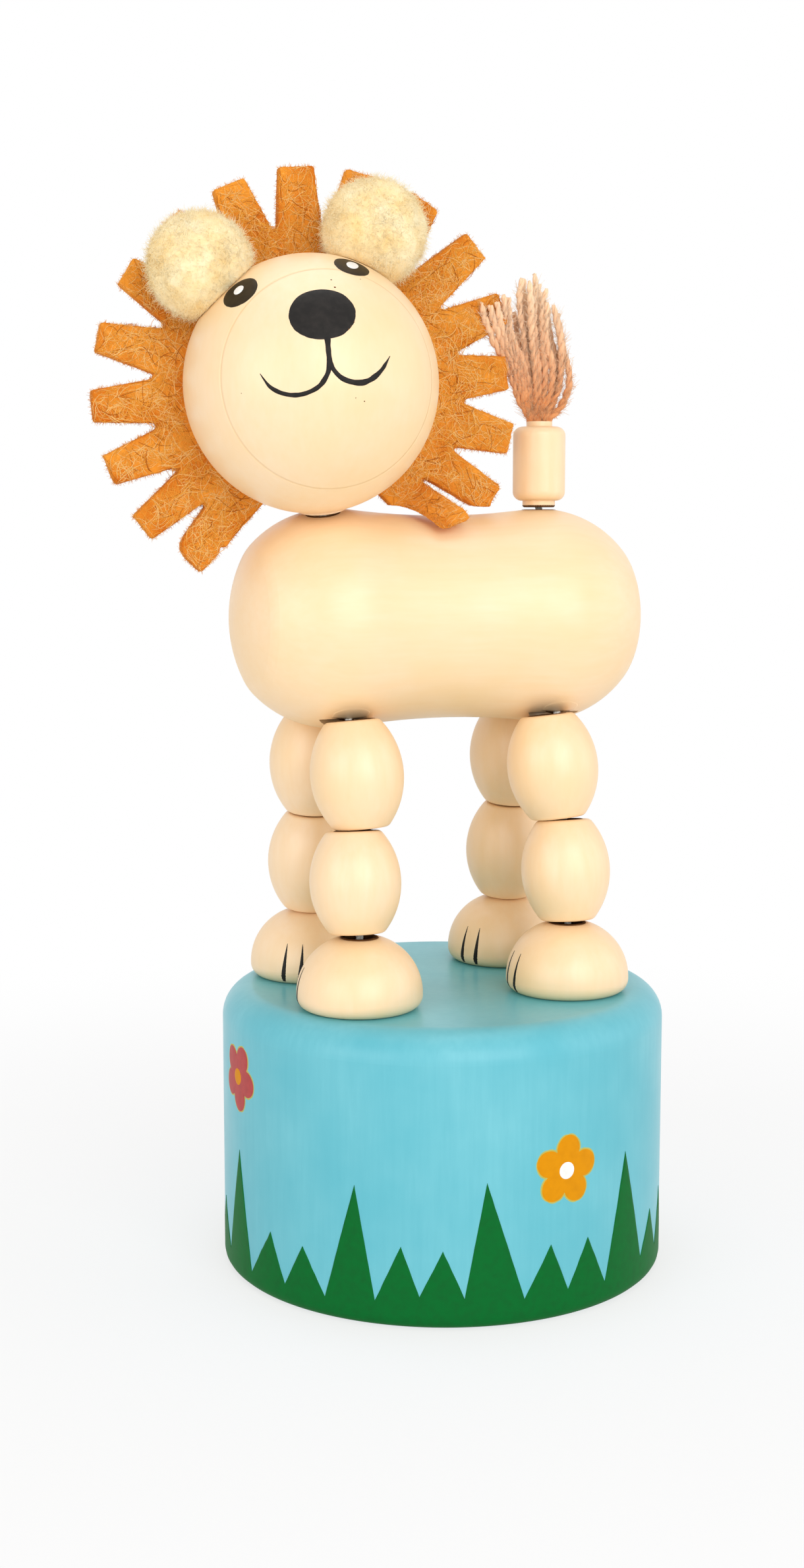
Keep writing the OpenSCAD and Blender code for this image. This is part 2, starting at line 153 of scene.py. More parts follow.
def strand_mesh(paths, radii, sides):
    """Points and faces of closed round strands; paths is (strands, points, 3) and radii (strands, points), in mm."""
    paths, radii = np.asarray(paths, float), np.asarray(radii, float)
    count, length, _ = paths.shape
    u, v = across_path(paths)
    turn = around(sides)
    rings = (paths[:, :, None] + radii[:, :, None, None]
             * (np.cos(turn)[:, None] * u[:, :, None] + np.sin(turn)[:, None] * v[:, :, None]))
    size = length * sides
    tube = grid(length, sides, wrap=True) + [tuple(range(sides - 1, -1, -1)), tuple(range(size - sides, size))]
    faces = [tuple(first + k for k in face) for first in range(0, count * size, size) for face in tube]
    return rings.reshape(-1, 3), faces


def hairs(root, *terms):
    """Paths of loose fibres from their roots; each term says how far they go by each point, and which way."""
    paths = root[:, None]
    for far, way in terms:
        paths = paths + far[..., None] * way[:, None]
    return paths


def twisted(path, radius, plies, pitch):
    """Paths of the plies of a twisted yarn or cord along one path."""
    path = np.asarray(path, float)[None]
    u, v = across_path(path)
    run = np.concatenate(([0], np.cumsum(np.linalg.norm(np.diff(path[0], axis=0), axis=1))))
    turn = 2 * math.pi * (run / pitch + np.arange(plies)[:, None] / plies)
    return path + radius * (np.cos(turn)[..., None] * u + np.sin(turn)[..., None] * v)


def lathe(profile, foot, axis, sides=48, closed=False):
    """Points and faces of a turned skin: profile is (radius, height) along an axis from its foot; closed joins its
    ends."""
    axis = unit(np.asarray(axis, float))
    u = unit(np.cross(axis, (0, 0, 1) if abs(axis[2]) < 0.9 else (1, 0, 0)))
    v = np.cross(axis, u)
    turn = around(sides)
    ring = np.cos(turn)[:, None] * u + np.sin(turn)[:, None] * v
    points = np.concatenate([np.asarray(foot) + h * axis + r * ring for r, h in profile])
    faces = grid(len(profile), sides, wrap=True)
    if closed:
        last = (len(profile) - 1) * sides
        faces += [(last + k, last + (k + 1) % sides, (k + 1) % sides, k) for k in range(sides)]
    return points, faces


def joined(parts):
    """One list of points and faces from several."""
    points, faces = [], []
    for p, f in parts:
        first = sum(len(q) for q in points)
        points.append(np.asarray(p))
        faces += [tuple(first + k for k in face) for face in f]
    return np.concatenate(points), faces


def wander(points, size, depth, seed=0):
    """A soft random push for each point, from a pattern of that size in mm."""
    return np.array([noise.noise(Vector(p) / size + Vector((seed, 0, 0))) for p in points]) * depth


# Materials


def colour(text):
    """An sRGB hex colour as linear RGBA."""
    parts = [int(text[i:i + 2], 16) / 255 for i in (1, 3, 5)]
    return [c / 12.92 if c <= 0.04045 else ((c + 0.055) / 1.055) ** 2.4 for c in parts] + [1.0]


def add(material, kind, settings=None, values=None, links=None):
    """One node of a material, with its settings, its sockets' values, and its links from other nodes' outputs."""
    made = material.node_tree.nodes.new(kind)
    for name, value in (settings or {}).items():
        setattr(made, name, value)
    for socket, value in (values or {}).items():
        made.inputs[socket].default_value = value
    for socket, (source, output) in (links or {}).items():
        material.node_tree.links.new(source.outputs[output], made.inputs[socket])
    return made


def new_material(name):
    """An empty material, its output node and the place that patterns are measured from."""
    material = bpy.data.materials.new(name)
    material.use_nodes = True
    material.node_tree.nodes.clear()
    return material, add(material, "ShaderNodeOutputMaterial"), (add(material, "ShaderNodeTexCoord"), "Object")


def per(mm):
    """A pattern's scale from the size of its marks in mm."""
    return 1000 / mm


def marks(m, place, size, detail=2, rough=0.5, swirl=0.0):
    """A noise pattern with marks of that size in mm."""
    values = {"Scale": per(size), "Detail": detail, "Roughness": rough, "Distortion": swirl}
    return add(m, "ShaderNodeTexNoise", values=values, links={"Vector": place}), "Fac"


def stretched(m, place, scale):
    """A place drawn out along an axis, for grain."""
    return add(m, "ShaderNodeMapping", values={"Scale": scale}, links={"Vector": place}), "Vector"


def span(m, source, low, high, to_low=0.0, to_high=1.0, kind="LINEAR"):
    """One range of values turned into another."""
    values = {"From Min": low, "From Max": high, "To Min": to_low, "To Max": to_high}
    return add(m, "ShaderNodeMapRange", {"interpolation_type": kind}, values, {"Value": source}), "Result"


def reckon(m, operation, *terms):
    """Arithmetic on numbers and on other nodes' outputs."""
    values = {k: t for k, t in enumerate(terms) if not isinstance(t, tuple)}
    links = {k: t for k, t in enumerate(terms) if isinstance(t, tuple)}
    return add(m, "ShaderNodeMath", {"operation": operation}, values, links), "Value"


def tinted(m, share, under, over):
    """A hex colour laid over another, or over an earlier tint, by a share."""
    values, links = {7: colour(over)}, {0: share}
    if isinstance(under, str):
        values[6] = colour(under)
    else:
        links[6] = under
    return add(m, "ShaderNodeMix", {"data_type": "RGBA"}, values, links), 2


def relief(m, height, strength, depth, under=None, sunk=False):
    """Bumps of a pattern, that deep in mm, over an earlier relief."""
    links = {"Height": height, "Normal": under} if under else {"Height": height}
    return add(m, "ShaderNodeBump", {"invert": sunk}, {"Strength": strength, "Distance": depth * MM}, links), "Normal"


def principled(m, out, values, links):
    """The material with its surface."""
    made = add(m, "ShaderNodeBsdfPrincipled", values=values, links=links)
    m.node_tree.links.new(made.outputs["BSDF"], out.inputs["Surface"])
    return m


FACE_RING, RING_HALF = 6.9, 0.16  # how far in front of the head's middle the ring lies, and half its width, in mm


def painted_beech(name, shades, streaks, gloss, shine, ring=False):
    """Turned beech sprayed with satin enamel: an even coat with faint clouds of colour, the lathe's fine lines under
    it, and a soft, slightly uneven gloss."""
    m, out, at = new_material(name)
    cloud, lines = marks(m, at, 9, 3, 0.55), marks(m, stretched(m, at, streaks), 0.7, 4, 0.6)
    coat = tinted(m, span(m, cloud, 0.3, 0.7), shades[0], shades[1])
    coat = tinted(m, span(m, lines, 0.35, 0.75, 0, 0.4), coat, shades[2])
    skin = relief(m, marks(m, at, 0.45), 0.12, 0.02, relief(m, lines, 0.10, 0.02))
    if ring:  # a groove that the lathe left round the face, drawn 0.3 mm wide so that it shows, its colour darkened as painted shade
        face = HEAD_TURN @ (0, -1, 0)
        along = add(m, "ShaderNodeVectorMath", {"operation": "DOT_PRODUCT"}, {1: face}, {0: at}), "Value"
        off = reckon(m, "ABSOLUTE", reckon(m, "SUBTRACT", along, (float(HEAD_AT @ face) + FACE_RING) * MM))
        groove = span(m, off, 0, RING_HALF * MM, 1, 0, "SMOOTHSTEP")
        # the groove's colour, 30% towards a darker orange, is painted shade in the recess
        coat = tinted(m, reckon(m, "MULTIPLY", groove, 0.3), coat, "#E9B56C")
        skin = relief(m, groove, 0.5, 0.08, skin, sunk=True)
    return principled(m, out, {"IOR": 1.5, "Specular IOR Level": shine},
                      {"Base Color": coat, "Roughness": span(m, cloud, 0, 1, *gloss), "Normal": skin})


def brushed_enamel(name, main, thin, rough, shine=0.3):
    """Enamel put on with a small brush or a printing pad: a dense colour that thins a little between strokes and
    stands slightly proud."""
    m, out, at = new_material(name)
    stroke = marks(m, at, 0.8, 3)
    return principled(m, out, {"Roughness": rough, "IOR": 1.5, "Specular IOR Level": shine},
                      {"Base Color": tinted(m, span(m, stroke, 0.4, 0.8), main, thin),
                       "Normal": relief(m, stroke, 0.25, 0.03)})


def bare_beech():
    """Sanded beech with no finish: pale pinkish brown, long grain across the disc and short dark flecks."""
    m, out, at = new_material("bare sanded beech")
    board = stretched(m, at, (0.12, 1, 1))
    grain, fleck = marks(m, board, 1.1, 5, 0.6), marks(m, board, 0.35)
    wood = tinted(m, span(m, grain, 0.3, 0.7), "#DDB787", "#BE9059")
    return principled(m, out, {"Roughness": 0.68, "IOR": 1.5},
                      {"Base Color": tinted(m, span(m, fleck, 0.62, 0.72, 0, 0.5), wood, "#8C6234"),
                       "Normal": relief(m, fleck, 0.3, 0.04)})


def drawn_wire():
    """Spring steel as drawn: grey, bright, with fine lines along the wire."""
    m, out, at = new_material("drawn spring steel")
    lines = marks(m, at, 0.6, 3)
    return principled(m, out, {"Metallic": 1.0}, {"Base Color": tinted(m, lines, "#B7B9BC", "#94979B"),
                                                  "Roughness": span(m, lines, 0, 1, 0.22, 0.42)})


def fibre(name, shades, rough, sheen, clump, tips=None):
    """Wool, nylon or felt fibre: no gloss, a pale bloom at the edges, and the colour drifting from tuft to tuft."""
    m, out, at = new_material(name)
    tone = tinted(m, span(m, marks(m, at, clump, 3, 0.6), 0.32, 0.68), shades[0], shades[1])
    if tips:  # colour of the tips, and the heights in mm where it starts and is full
        height = add(m, "ShaderNodeSeparateXYZ", links={"Vector": at}), "Z"
        tone = tinted(m, span(m, height, tips[1] * MM, tips[2] * MM), tone, tips[0])
    return principled(m, out, {"Roughness": rough, "Specular IOR Level": 0.15, "Sheen Weight": sheen,
                               "Sheen Roughness": 0.5, "Sheen Tint": colour(shades[2])},
                      {"Base Color": tone, "Normal": relief(m, marks(m, at, 0.22), 0.6, 0.12)})


def pressed_felt():
    """Needled wool felt: short fibres lying in every direction, so soft rust and golden threads swirl over each
    other."""
    m, out, at = new_material("pressed wool felt")
    swirl, thread = marks(m, at, 0.8, 5, 0.7, 1.8), marks(m, at, 0.3, 3, 0.6, 1.5)
    ground = tinted(m, span(m, marks(m, at, 4, 4, 0.6), 0.34, 0.62), "#C86614", "#E99532")
    rust = tinted(m, span(m, swirl, 0.5, 0.75, 0, 0.2), ground, "#C87422")
    tone = tinted(m, span(m, thread, 0.55, 0.75, 0, 0.65), rust, "#F9BE66")
    return principled(m, out, {"Roughness": 0.95, "Specular IOR Level": 0.1, "Sheen Weight": 0.12,
                               "Sheen Roughness": 0.5, "Sheen Tint": colour("#F8C883")},
                      {"Base Color": tone, "Normal": relief(m, thread, 0.25, 0.08)})


def looked_at(m):
    """One on the rays that come to the eye straight, mirrored or through glass, and nothing on those that light."""
    path = add(m, "ShaderNodeLightPath")
    seen = reckon(m, "MAXIMUM", (path, "Is Camera Ray"), (path, "Is Glossy Ray"))
    return reckon(m, "MAXIMUM", seen, (path, "Is Transmission Ray"))


def studio_floor():
    """A pale sweep: lit as matt paper, and white to the camera apart from the soft shadow."""
    m, out, at = new_material("pale paper sweep")
    paper = add(m, "ShaderNodeBsdfDiffuse", values={"Color": colour("#F4F4F4")},
                links={"Normal": relief(m, marks(m, at, 2), 0.05, 0.05)})
    white = add(m, "ShaderNodeEmission", values={"Strength": 1.0})
    far = add(m, "ShaderNodeVectorMath", {"operation": "LENGTH"}, links={0: at}), "Value"
    share = reckon(m, "MULTIPLY", looked_at(m), span(m, far, 40 * MM, 150 * MM, 0.7, 1.0, "SMOOTHSTEP"))
    both = add(m, "ShaderNodeMixShader", links={0: share, 1: (paper, "BSDF"), 2: (white, "Emission")})
    m.node_tree.links.new(both.outputs["Shader"], out.inputs["Surface"])
    return m


CREAM, SATIN = ("#FBDCB4", "#F9D6A4", "#F7CF96"), (0.34, 0.48)
FADING = (TAIL_TOP + 2, TAIL_TOP + 13)  # heights in mm over which the yarn pales to its tips
lion_paint = painted_beech("cream enamel on beech", CREAM, (1, 1, 0.15), SATIN, 1.0)
body_paint = painted_beech("cream enamel along the grain", CREAM, (0.1, 1, 1), SATIN, 1.0)
face_paint = painted_beech("cream enamel on a turned ball", (*CREAM[:2], "#F8D198"), (1, 1, 0.3), SATIN, 1.0,
                           ring=True)
base_paint = painted_beech("blue enamel on beech", ("#74C3CF", "#62B9C7", "#5BB2C1"), (1, 1, 0.08), (0.26, 0.38), 0.3)
black_enamel = brushed_enamel("black enamel", "#1B1816", "#2A2623", 0.55, 0.2)
brown_enamel = brushed_enamel("brown enamel", "#2B2112", "#382C1A", 0.5, 0.15)
white_enamel = brushed_enamel("white enamel", "#F4F3F0", "#E6E4DE", 0.4)
red_enamel = brushed_enamel("red enamel", "#B5413F", "#A53838", 0.5)
orange_enamel = brushed_enamel("orange enamel", "#DD9000", "#D58900", 0.5, 0.1)
straw_enamel = brushed_enamel("straw enamel", "#B9B458", "#A9AF5A", 0.5)
grass_enamel = brushed_enamel("green enamel", "#06682A", "#0D6028", 0.5, 0.08)
# dark brown for specks, for scorch round the bores, and for painted shade in the gaps at the joints
scorch_and_shade_brown = brushed_enamel("scorched beech and painted shade", "#5A3A20", "#7A5229", 0.75, 0.1)
button_wood = bare_beech()
spring_steel = drawn_wire()
mane_felt = pressed_felt()
nylon = fibre("twisted nylon cord", ("#EFEDE6", "#DAD6CA", "#FFFFFF"), 0.55, 0.2, 0.6)
ear_fluff = fibre("pom-pom wool", ("#FFF0C8", "#FADC9C", "#FFF3D2"), 0.95, 0.3, 2.6)
pale_wool = fibre("pom-pom fibre", ("#FFF5D6", "#FEE6B0", "#FFF6DE"), 0.95, 0.25, 2.6)
tuft_yarn = fibre("spun wool yarn", ("#E0935C", "#ECAA74", "#F6DCC4"), 0.95, 0.3, 2.2, ("#FFDDB8", *FADING))
tuft_fuzz = fibre("wool yarn fuzz", ("#E4A672", "#EEC092", "#FAE8D6"), 0.95, 0.3, 2.0, ("#FFE8CC", *FADING))
rust_fibre = fibre("rust wool fibre", ("#BE6A1C", "#AE5E18", "#DFA35C"), 0.95, 0.12, 1.5)
golden_fibre = fibre("golden wool fibre", ("#F2A640", "#EA9C38", "#F6D29A"), 0.95, 0.12, 1.5)
pale_fibre = fibre("pale wool fibre", ("#F8C87E", "#F4B868", "#FCE6C0"), 0.95, 0.12, 1.5)

FINISHES = {"base_drum": base_paint, "push_button": button_wood, "head": face_paint, "body": body_paint}
for name, solid in nodes.items():
    for slot in solid.material_slots:
        slot.material = FINISHES.get(name, lion_paint)


# Felt mane

MANE_MIDDLE = np.array((1.157, -0.412))
MANE_T, SLOT_R, STRIP_PITCH = 1.5, 15.04, 17.765
MID_STRIP, MID_ANGLE = 9, 174.147  # the strip at the crown, and its direction from the head's down, in degrees
# strip: reach, turn from its even place, tip width, bend of its tip to the back
STRIPS = {1: (20.3, -3.6, 3.26, 0.1), 2: (21.23, -0.6, 2.88, 0.3), 3: (21.25, 0.3, 2.94, -0.2),
          4: (21.28, 1.4, 2.99, 0.4), 5: (21.09, 1.7, 2.81, 0.2), 6: (20.83, 1.2, 2.86, -0.3),
          7: (20.78, 1.0, 2.76, 0.1), 8: (20.68, 0.2, 3.23, 0.3), 9: (20.98, -0.5, 3.34, -0.2),
          10: (21.26, -0.8, 3.19, 0.4), 11: (21.5, -0.9, 3.23, 0.2), 12: (21.82, -0.6, 3.08, 0.1),
          13: (21.3, -0.3, 3.1, 0.7), 14: (20.08, 0.1, 3.27, 0.7), 15: (20.73, -0.3, 3.02, 0.3),
          16: (21.2, 0.2, 3.1, 0.2), 17: (20.9, 2.2, 3.7, 0.0)}
LAST_STRIP = len(STRIPS)
FOLD_FROM, FOLD_RUN, FOLD = 13.4, 1.6, math.radians(50)  # where the last strip bends, over what length, how far
# the felt's edge round the neck: its radius, and angles from the outer strips in radians
NECK_EDGE_R, END_SLOT, LAST_CORNER, FIRST_CORNER = 11.2, 0.155, -0.2, 0.24
# the worn tip of the first strip and its ragged edge beside the neck: mm past its reach, half widths aside
WORN_TIP = ((-1.5, -1.08), (-0.6, -0.98), (-0.15, -0.7), (0.1, -0.3), (0.3, 0.6), (0.3, 1.0), (-2.3, 1.2),
            (-2.5, 1.02), (-2.9, 1.08), (-3.0, 1.32), (-3.5, 1.28))


def strip_angle(k):
    """A strip's direction from the head's down, in radians, turning to the lion's left."""
    return math.radians(MID_ANGLE - STRIP_PITCH * (k - MID_STRIP) + STRIPS[k][1])


def toward(a):
    """A direction on the flat felt, from the head's down."""
    return np.array((math.sin(a), -math.cos(a)))


def wrapped(a):
    """The same angle within half a turn."""
    return (a + math.pi) % (2 * math.pi) - math.pi


def felt_outline():
    """The cut edge of the felt, flat, from the mane's middle: seventeen strips and a gap for the neck."""
    corners = []
    for k in range(LAST_STRIP, 0, -1):
        reach, _, tip, _ = STRIPS[k]
        a = strip_angle(k)
        out, side = toward(a), np.array((math.cos(a), math.sin(a)))
        before = (strip_angle(k + 1) + a) / 2 if k < LAST_STRIP else a - END_SLOT
        after = (strip_angle(k - 1) + a) / 2 if k > 1 else a + END_SLOT
        ends = []
        for slot, sign in ((before, -1), (after, 1)):
            r = FOLD_FROM - 0.1 if (k, sign) in ((LAST_STRIP, 1), (LAST_STRIP - 1, -1)) else SLOT_R
            ends.append(r * toward(slot) - sign * 0.12 * side)
        if k == LAST_STRIP:
            corners.append(NECK_EDGE_R * toward(a + LAST_CORNER))
        corners.append(ends[0])
        if k == 1:
            corners += [out * (reach + r) + side * (tip / 2 * w) for r, w in WORN_TIP]
        else:
            corners += [out * reach - side * tip / 2, out * reach + side * tip / 2]
        corners.append(ends[1])
        if k == 1:
            corners.append(NECK_EDGE_R * toward(a + FIRST_CORNER))
    low = wrapped(strip_angle(1) + FIRST_CORNER)
    high = wrapped(strip_angle(LAST_STRIP) + LAST_CORNER + 2 * math.pi)
    corners += [NECK_EDGE_R * toward(t) for t in np.linspace(low, high, 14)[1:-1]]
    return np.array(corners)


def felt_mesh(outline, thickness, voxel):
    """The outline as a felt sheet of even thickness with softened edges, made of small even faces."""
    count = len(outline)
    flat = [np.column_stack((outline[:, 0], np.full(count, y), outline[:, 1])) for y in (0, thickness)]
    faces = [tuple(range(count))[::-1], tuple(range(count, 2 * count)), *grid(2, count, wrap=True)]
    mesh = bpy.data.meshes.new("felt_cut")
    mesh.from_pydata(np.concatenate(flat).tolist(), [], faces)
    cut = bpy.data.objects.new("felt_cut", mesh)
    bpy.context.scene.collection.objects.link(cut)
    remesh = cut.modifiers.new("even", "REMESH")
    remesh.mode, remesh.voxel_size = "VOXEL", voxel
    soften = cut.modifiers.new("soften", "SMOOTH")
    soften.factor, soften.iterations = 0.5, 1
    shaped = cut.evaluated_get(bpy.context.evaluated_depsgraph_get()).to_mesh()
    points = np.empty(len(shaped.vertices) * 3)
    shaped.vertices.foreach_get("co", points)
    faces = [tuple(p.vertices) for p in shaped.polygons]
    bpy.data.objects.remove(cut)
    return points.reshape(-1, 3), faces


def clear_of_body(points):
    """Moves points that would lie in the lion's back out to its surface."""
    share = np.clip((points[:, 0] - FRONT_X) / (REAR_X - FRONT_X), 0, 1)
    nearest = FRONT_HUMP + share[:, None] * (REAR_HUMP - FRONT_HUMP)
    away = points - nearest
    far = np.linalg.norm(away, axis=1, keepdims=True)
    return np.where(far < BODY_R + 0.3, nearest + away / far * (BODY_R + 0.3), points)


def shaped_felt(points):
    """Bends the flat felt: each strip by its own amount, the last one forward over the back, and the sheet into soft
    waves."""
    points = points.copy()
    points[:, 1] += wander(points, 7, 0.2, 3)
    grow = unit(np.column_stack((points[:, 0], np.zeros(len(points)), points[:, 2])))
    points += grow * wander(points, 1.3, 0.07, 8)[:, None] * (np.hypot(points[:, 0], points[:, 2]) > 12)[:, None]
    turn = np.arctan2(points[:, 0], -points[:, 2])
    reach = np.hypot(points[:, 0], points[:, 2])
    for k, (_, _, _, bend) in STRIPS.items():
        off = wrapped(turn - strip_angle(k))
        mine = (np.abs(off) < math.radians(STRIP_PITCH) / 2) & (reach > SLOT_R - 1)
        points[mine, 1] += bend * ((reach[mine] - SLOT_R + 1) / 7) ** 2
    a = strip_angle(LAST_STRIP)
    out, back = np.array((math.sin(a), 0, -math.cos(a))), np.array((0, 1, 0))
    off = wrapped(turn - a)
    far = points @ out - FOLD_FROM
    mine = (off > -0.35) & (off < math.radians(STRIP_PITCH) / 2) & (far > 0)
    bent = FOLD * np.clip(far / FOLD_RUN, 0, 1)
    run = np.where(far < FOLD_RUN, np.sin(bent) / (FOLD / FOLD_RUN),
                   math.sin(FOLD) * FOLD_RUN / FOLD + (far - FOLD_RUN) * math.cos(FOLD))
    drop = np.where(far < FOLD_RUN, (1 - np.cos(bent)) * FOLD_RUN / FOLD,
                    (1 - math.cos(FOLD)) * FOLD_RUN / FOLD + (far - FOLD_RUN) * math.sin(FOLD))
    depth = points[:, 1] - MANE_T / 2
    folded = (points - far[:, None] * out - back * depth[:, None]
              + (run + depth * np.sin(bent))[:, None] * out + (depth * np.cos(bent) - drop)[:, None] * back)
    points[mine] = folded[mine]
    return points


def mane_place(points):
    """From the flat felt to the back of the ball."""
    return clear_of_body(on_head(points + np.array((MANE_MIDDLE[0], HEAD_BACK, MANE_MIDDLE[1]))))


outline = felt_outline()
flat_points, felt_faces = felt_mesh(outline, MANE_T, 0.22)
felt_points = mane_place(shaped_felt(flat_points))
mane = piece("felt_mane", felt_points, felt_faces, mane_felt)
x, z = outline[:, 0], outline[:, 1]
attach(mane, "head")
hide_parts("mane")


def felt_fibres(count):
    """Fibres that lie on the felt in every direction, drawn 0.06 mm thick so that they show, and a short nap on its
    cut edges."""
    mesh = mane.data
    centres, normals = np.empty(len(mesh.polygons) * 3), np.empty(len(mesh.polygons) * 3)
    mesh.polygons.foreach_get("center", centres)
    mesh.polygons.foreach_get("normal", normals)
    centres, normals = centres.reshape(-1, 3) / MM, normals.reshape(-1, 3)
    tree = surface_of(mane)
    facing = normals @ (HEAD_TURN @ (0, 1, 0))
    open_felt = (np.linalg.norm(centres - HEAD_AT, axis=1) > HEAD_R + 0.5) | (facing > 0.6)
    cut_edge = np.abs(facing) < 0.6
    t = np.linspace(-0.5, 0.5, 6)
    picked = seeded.choice(np.nonzero(open_felt & ~cut_edge)[0], count)
    root, normal = centres[picked], normals[picked]
    lie = unit(np.cross(normal, seeded.normal(size=(count, 3))))
    swerve = np.cross(normal, lie)
    length, curl = seeded.uniform(0.9, 2.5, count), seeded.uniform(-0.9, 0.9, count)
    lift = seeded.uniform(0.0, 0.03, count)
    paths = hairs(root, (length[:, None] * t, lie), (curl[:, None] * (t ** 2 - 0.08) * length[:, None], swerve),
                  (lift[:, None] * (1 - 2 * t ** 2), normal))
    stays = [max(tree.find_nearest(Vector(p))[3] for p in (path[0], path[-1])) < 0.16 for path in paths]
    paths = paths[np.array(stays)]
    few = count // 3
    picked = seeded.choice(np.nonzero(open_felt & cut_edge)[0], few)
    out = unit(normals[picked] + 0.9 * seeded.normal(size=(few, 3)))
    nap = hairs(centres[picked], (seeded.uniform(0.15, 0.5, few)[:, None] * (t + 0.3), out),
                (0.12 * t ** 2, seeded.normal(size=(few, 3))))
    thick = np.concatenate((seeded.uniform(0.024, 0.04, len(paths)), np.full(few, 0.016)))
    paths = np.concatenate((paths, nap))
    points, faces = strand_mesh(paths, thick[:, None] * (1 - 1.6 * np.abs(t) ** 2), 3)
    shade = np.repeat(seeded.choice(3, len(paths), p=(0.08, 0.54, 0.38)), len(faces) // len(paths))
    return piece("mane_fibres", clear_of_body(points), faces, rust_fibre, golden_fibre, pale_fibre,
                 face_materials=shade)


fibres_on_mane = felt_fibres(20000)
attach(fibres_on_mane, "head")


# Pom-pom ears


def ear_press(points):
    """Presses a pom-pom's points clear of the ball and of the felt; points are from the ball's middle."""
    far = np.linalg.norm(points, axis=1, keepdims=True)
    points = np.where(far < HEAD_R + 0.05, points / far * (HEAD_R + 0.05), points)
    points[:, 1] = np.minimum(points[:, 1], HEAD_BACK - 0.05)
    return points


def pom_pom(name, middle, radius, node, seed):
    """A ball of clipped wool: lumpy, softly pressed where it is glued, and covered in short fibres."""
    rows, cols = 40, 80
    up = np.linspace(0, math.pi, rows + 1)[1:-1]
    turn = around(cols)
    dirs = np.stack((np.outer(np.sin(up), np.cos(turn)), np.outer(np.sin(up), np.sin(turn)),
                     np.outer(np.cos(up), np.ones(cols))), -1).reshape(-1, 3)
    dirs = np.concatenate(([[0, 0, 1]], dirs, [[0, 0, -1]]))
    lumps = 1 + wander(dirs, 0.6, 0.03, seed) + wander(dirs, 0.2, 0.01, seed + 4)
    points = ear_press(np.asarray(middle) + radius * 0.97 * dirs * lumps[:, None])
    last = len(dirs) - 1
    faces = [(0, 1 + k, 1 + (k + 1) % cols) for k in range(cols)]
    faces += grid(rows - 1, cols, wrap=True, first=1, flip=True)
    faces += [(last, last - cols + (k + 1) % cols, last - cols + k) for k in range(cols)]
    ball = piece(name, on_head(points), faces, ear_fluff)
    count = 14000
    out = unit(seeded.normal(size=(count, 3)))
    lie = unit(np.cross(out, seeded.normal(size=(count, 3))))
    swerve = np.cross(out, lie)
    length, stand = seeded.uniform(0.5, 1.4, count), seeded.uniform(0.05, 0.8, count) ** 1.2
    curl = seeded.uniform(-0.8, 0.8, count)
    t = np.linspace(0, 1, 6)
    root = np.asarray(middle) + out * radius * 0.95
    flat = (1 - stand)[:, None]
    paths = hairs(root, (length[:, None] * t, lie * flat + out * stand[:, None]),
                  (curl[:, None] * t ** 2, swerve * 0.6), (-0.25 * t ** 2, out * flat))
    inside = np.linalg.norm(paths, axis=2).min(1) < HEAD_R + 0.02
    inside |= paths[:, :, 1].max(1) > HEAD_BACK - 0.02
    paths = paths[~inside]
    radii = seeded.uniform(0.012, 0.022, len(paths))[:, None] * (1 - 0.7 * t ** 2)
    points, faces = strand_mesh(paths, radii, 3)
    wool = piece(name + "_wool", on_head(points), faces, pale_wool)
    for made in (ball, wool):
        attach(made, "head")
    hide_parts(node)


pom_pom("left_pom_pom", (8.82, 0.7, 12.92), 5.02, "left_ear", 2)
pom_pom("right_pom_pom", (-8.22, 0.7, 12.42), 5.0, "right_ear", 6)


# Yarn tuft

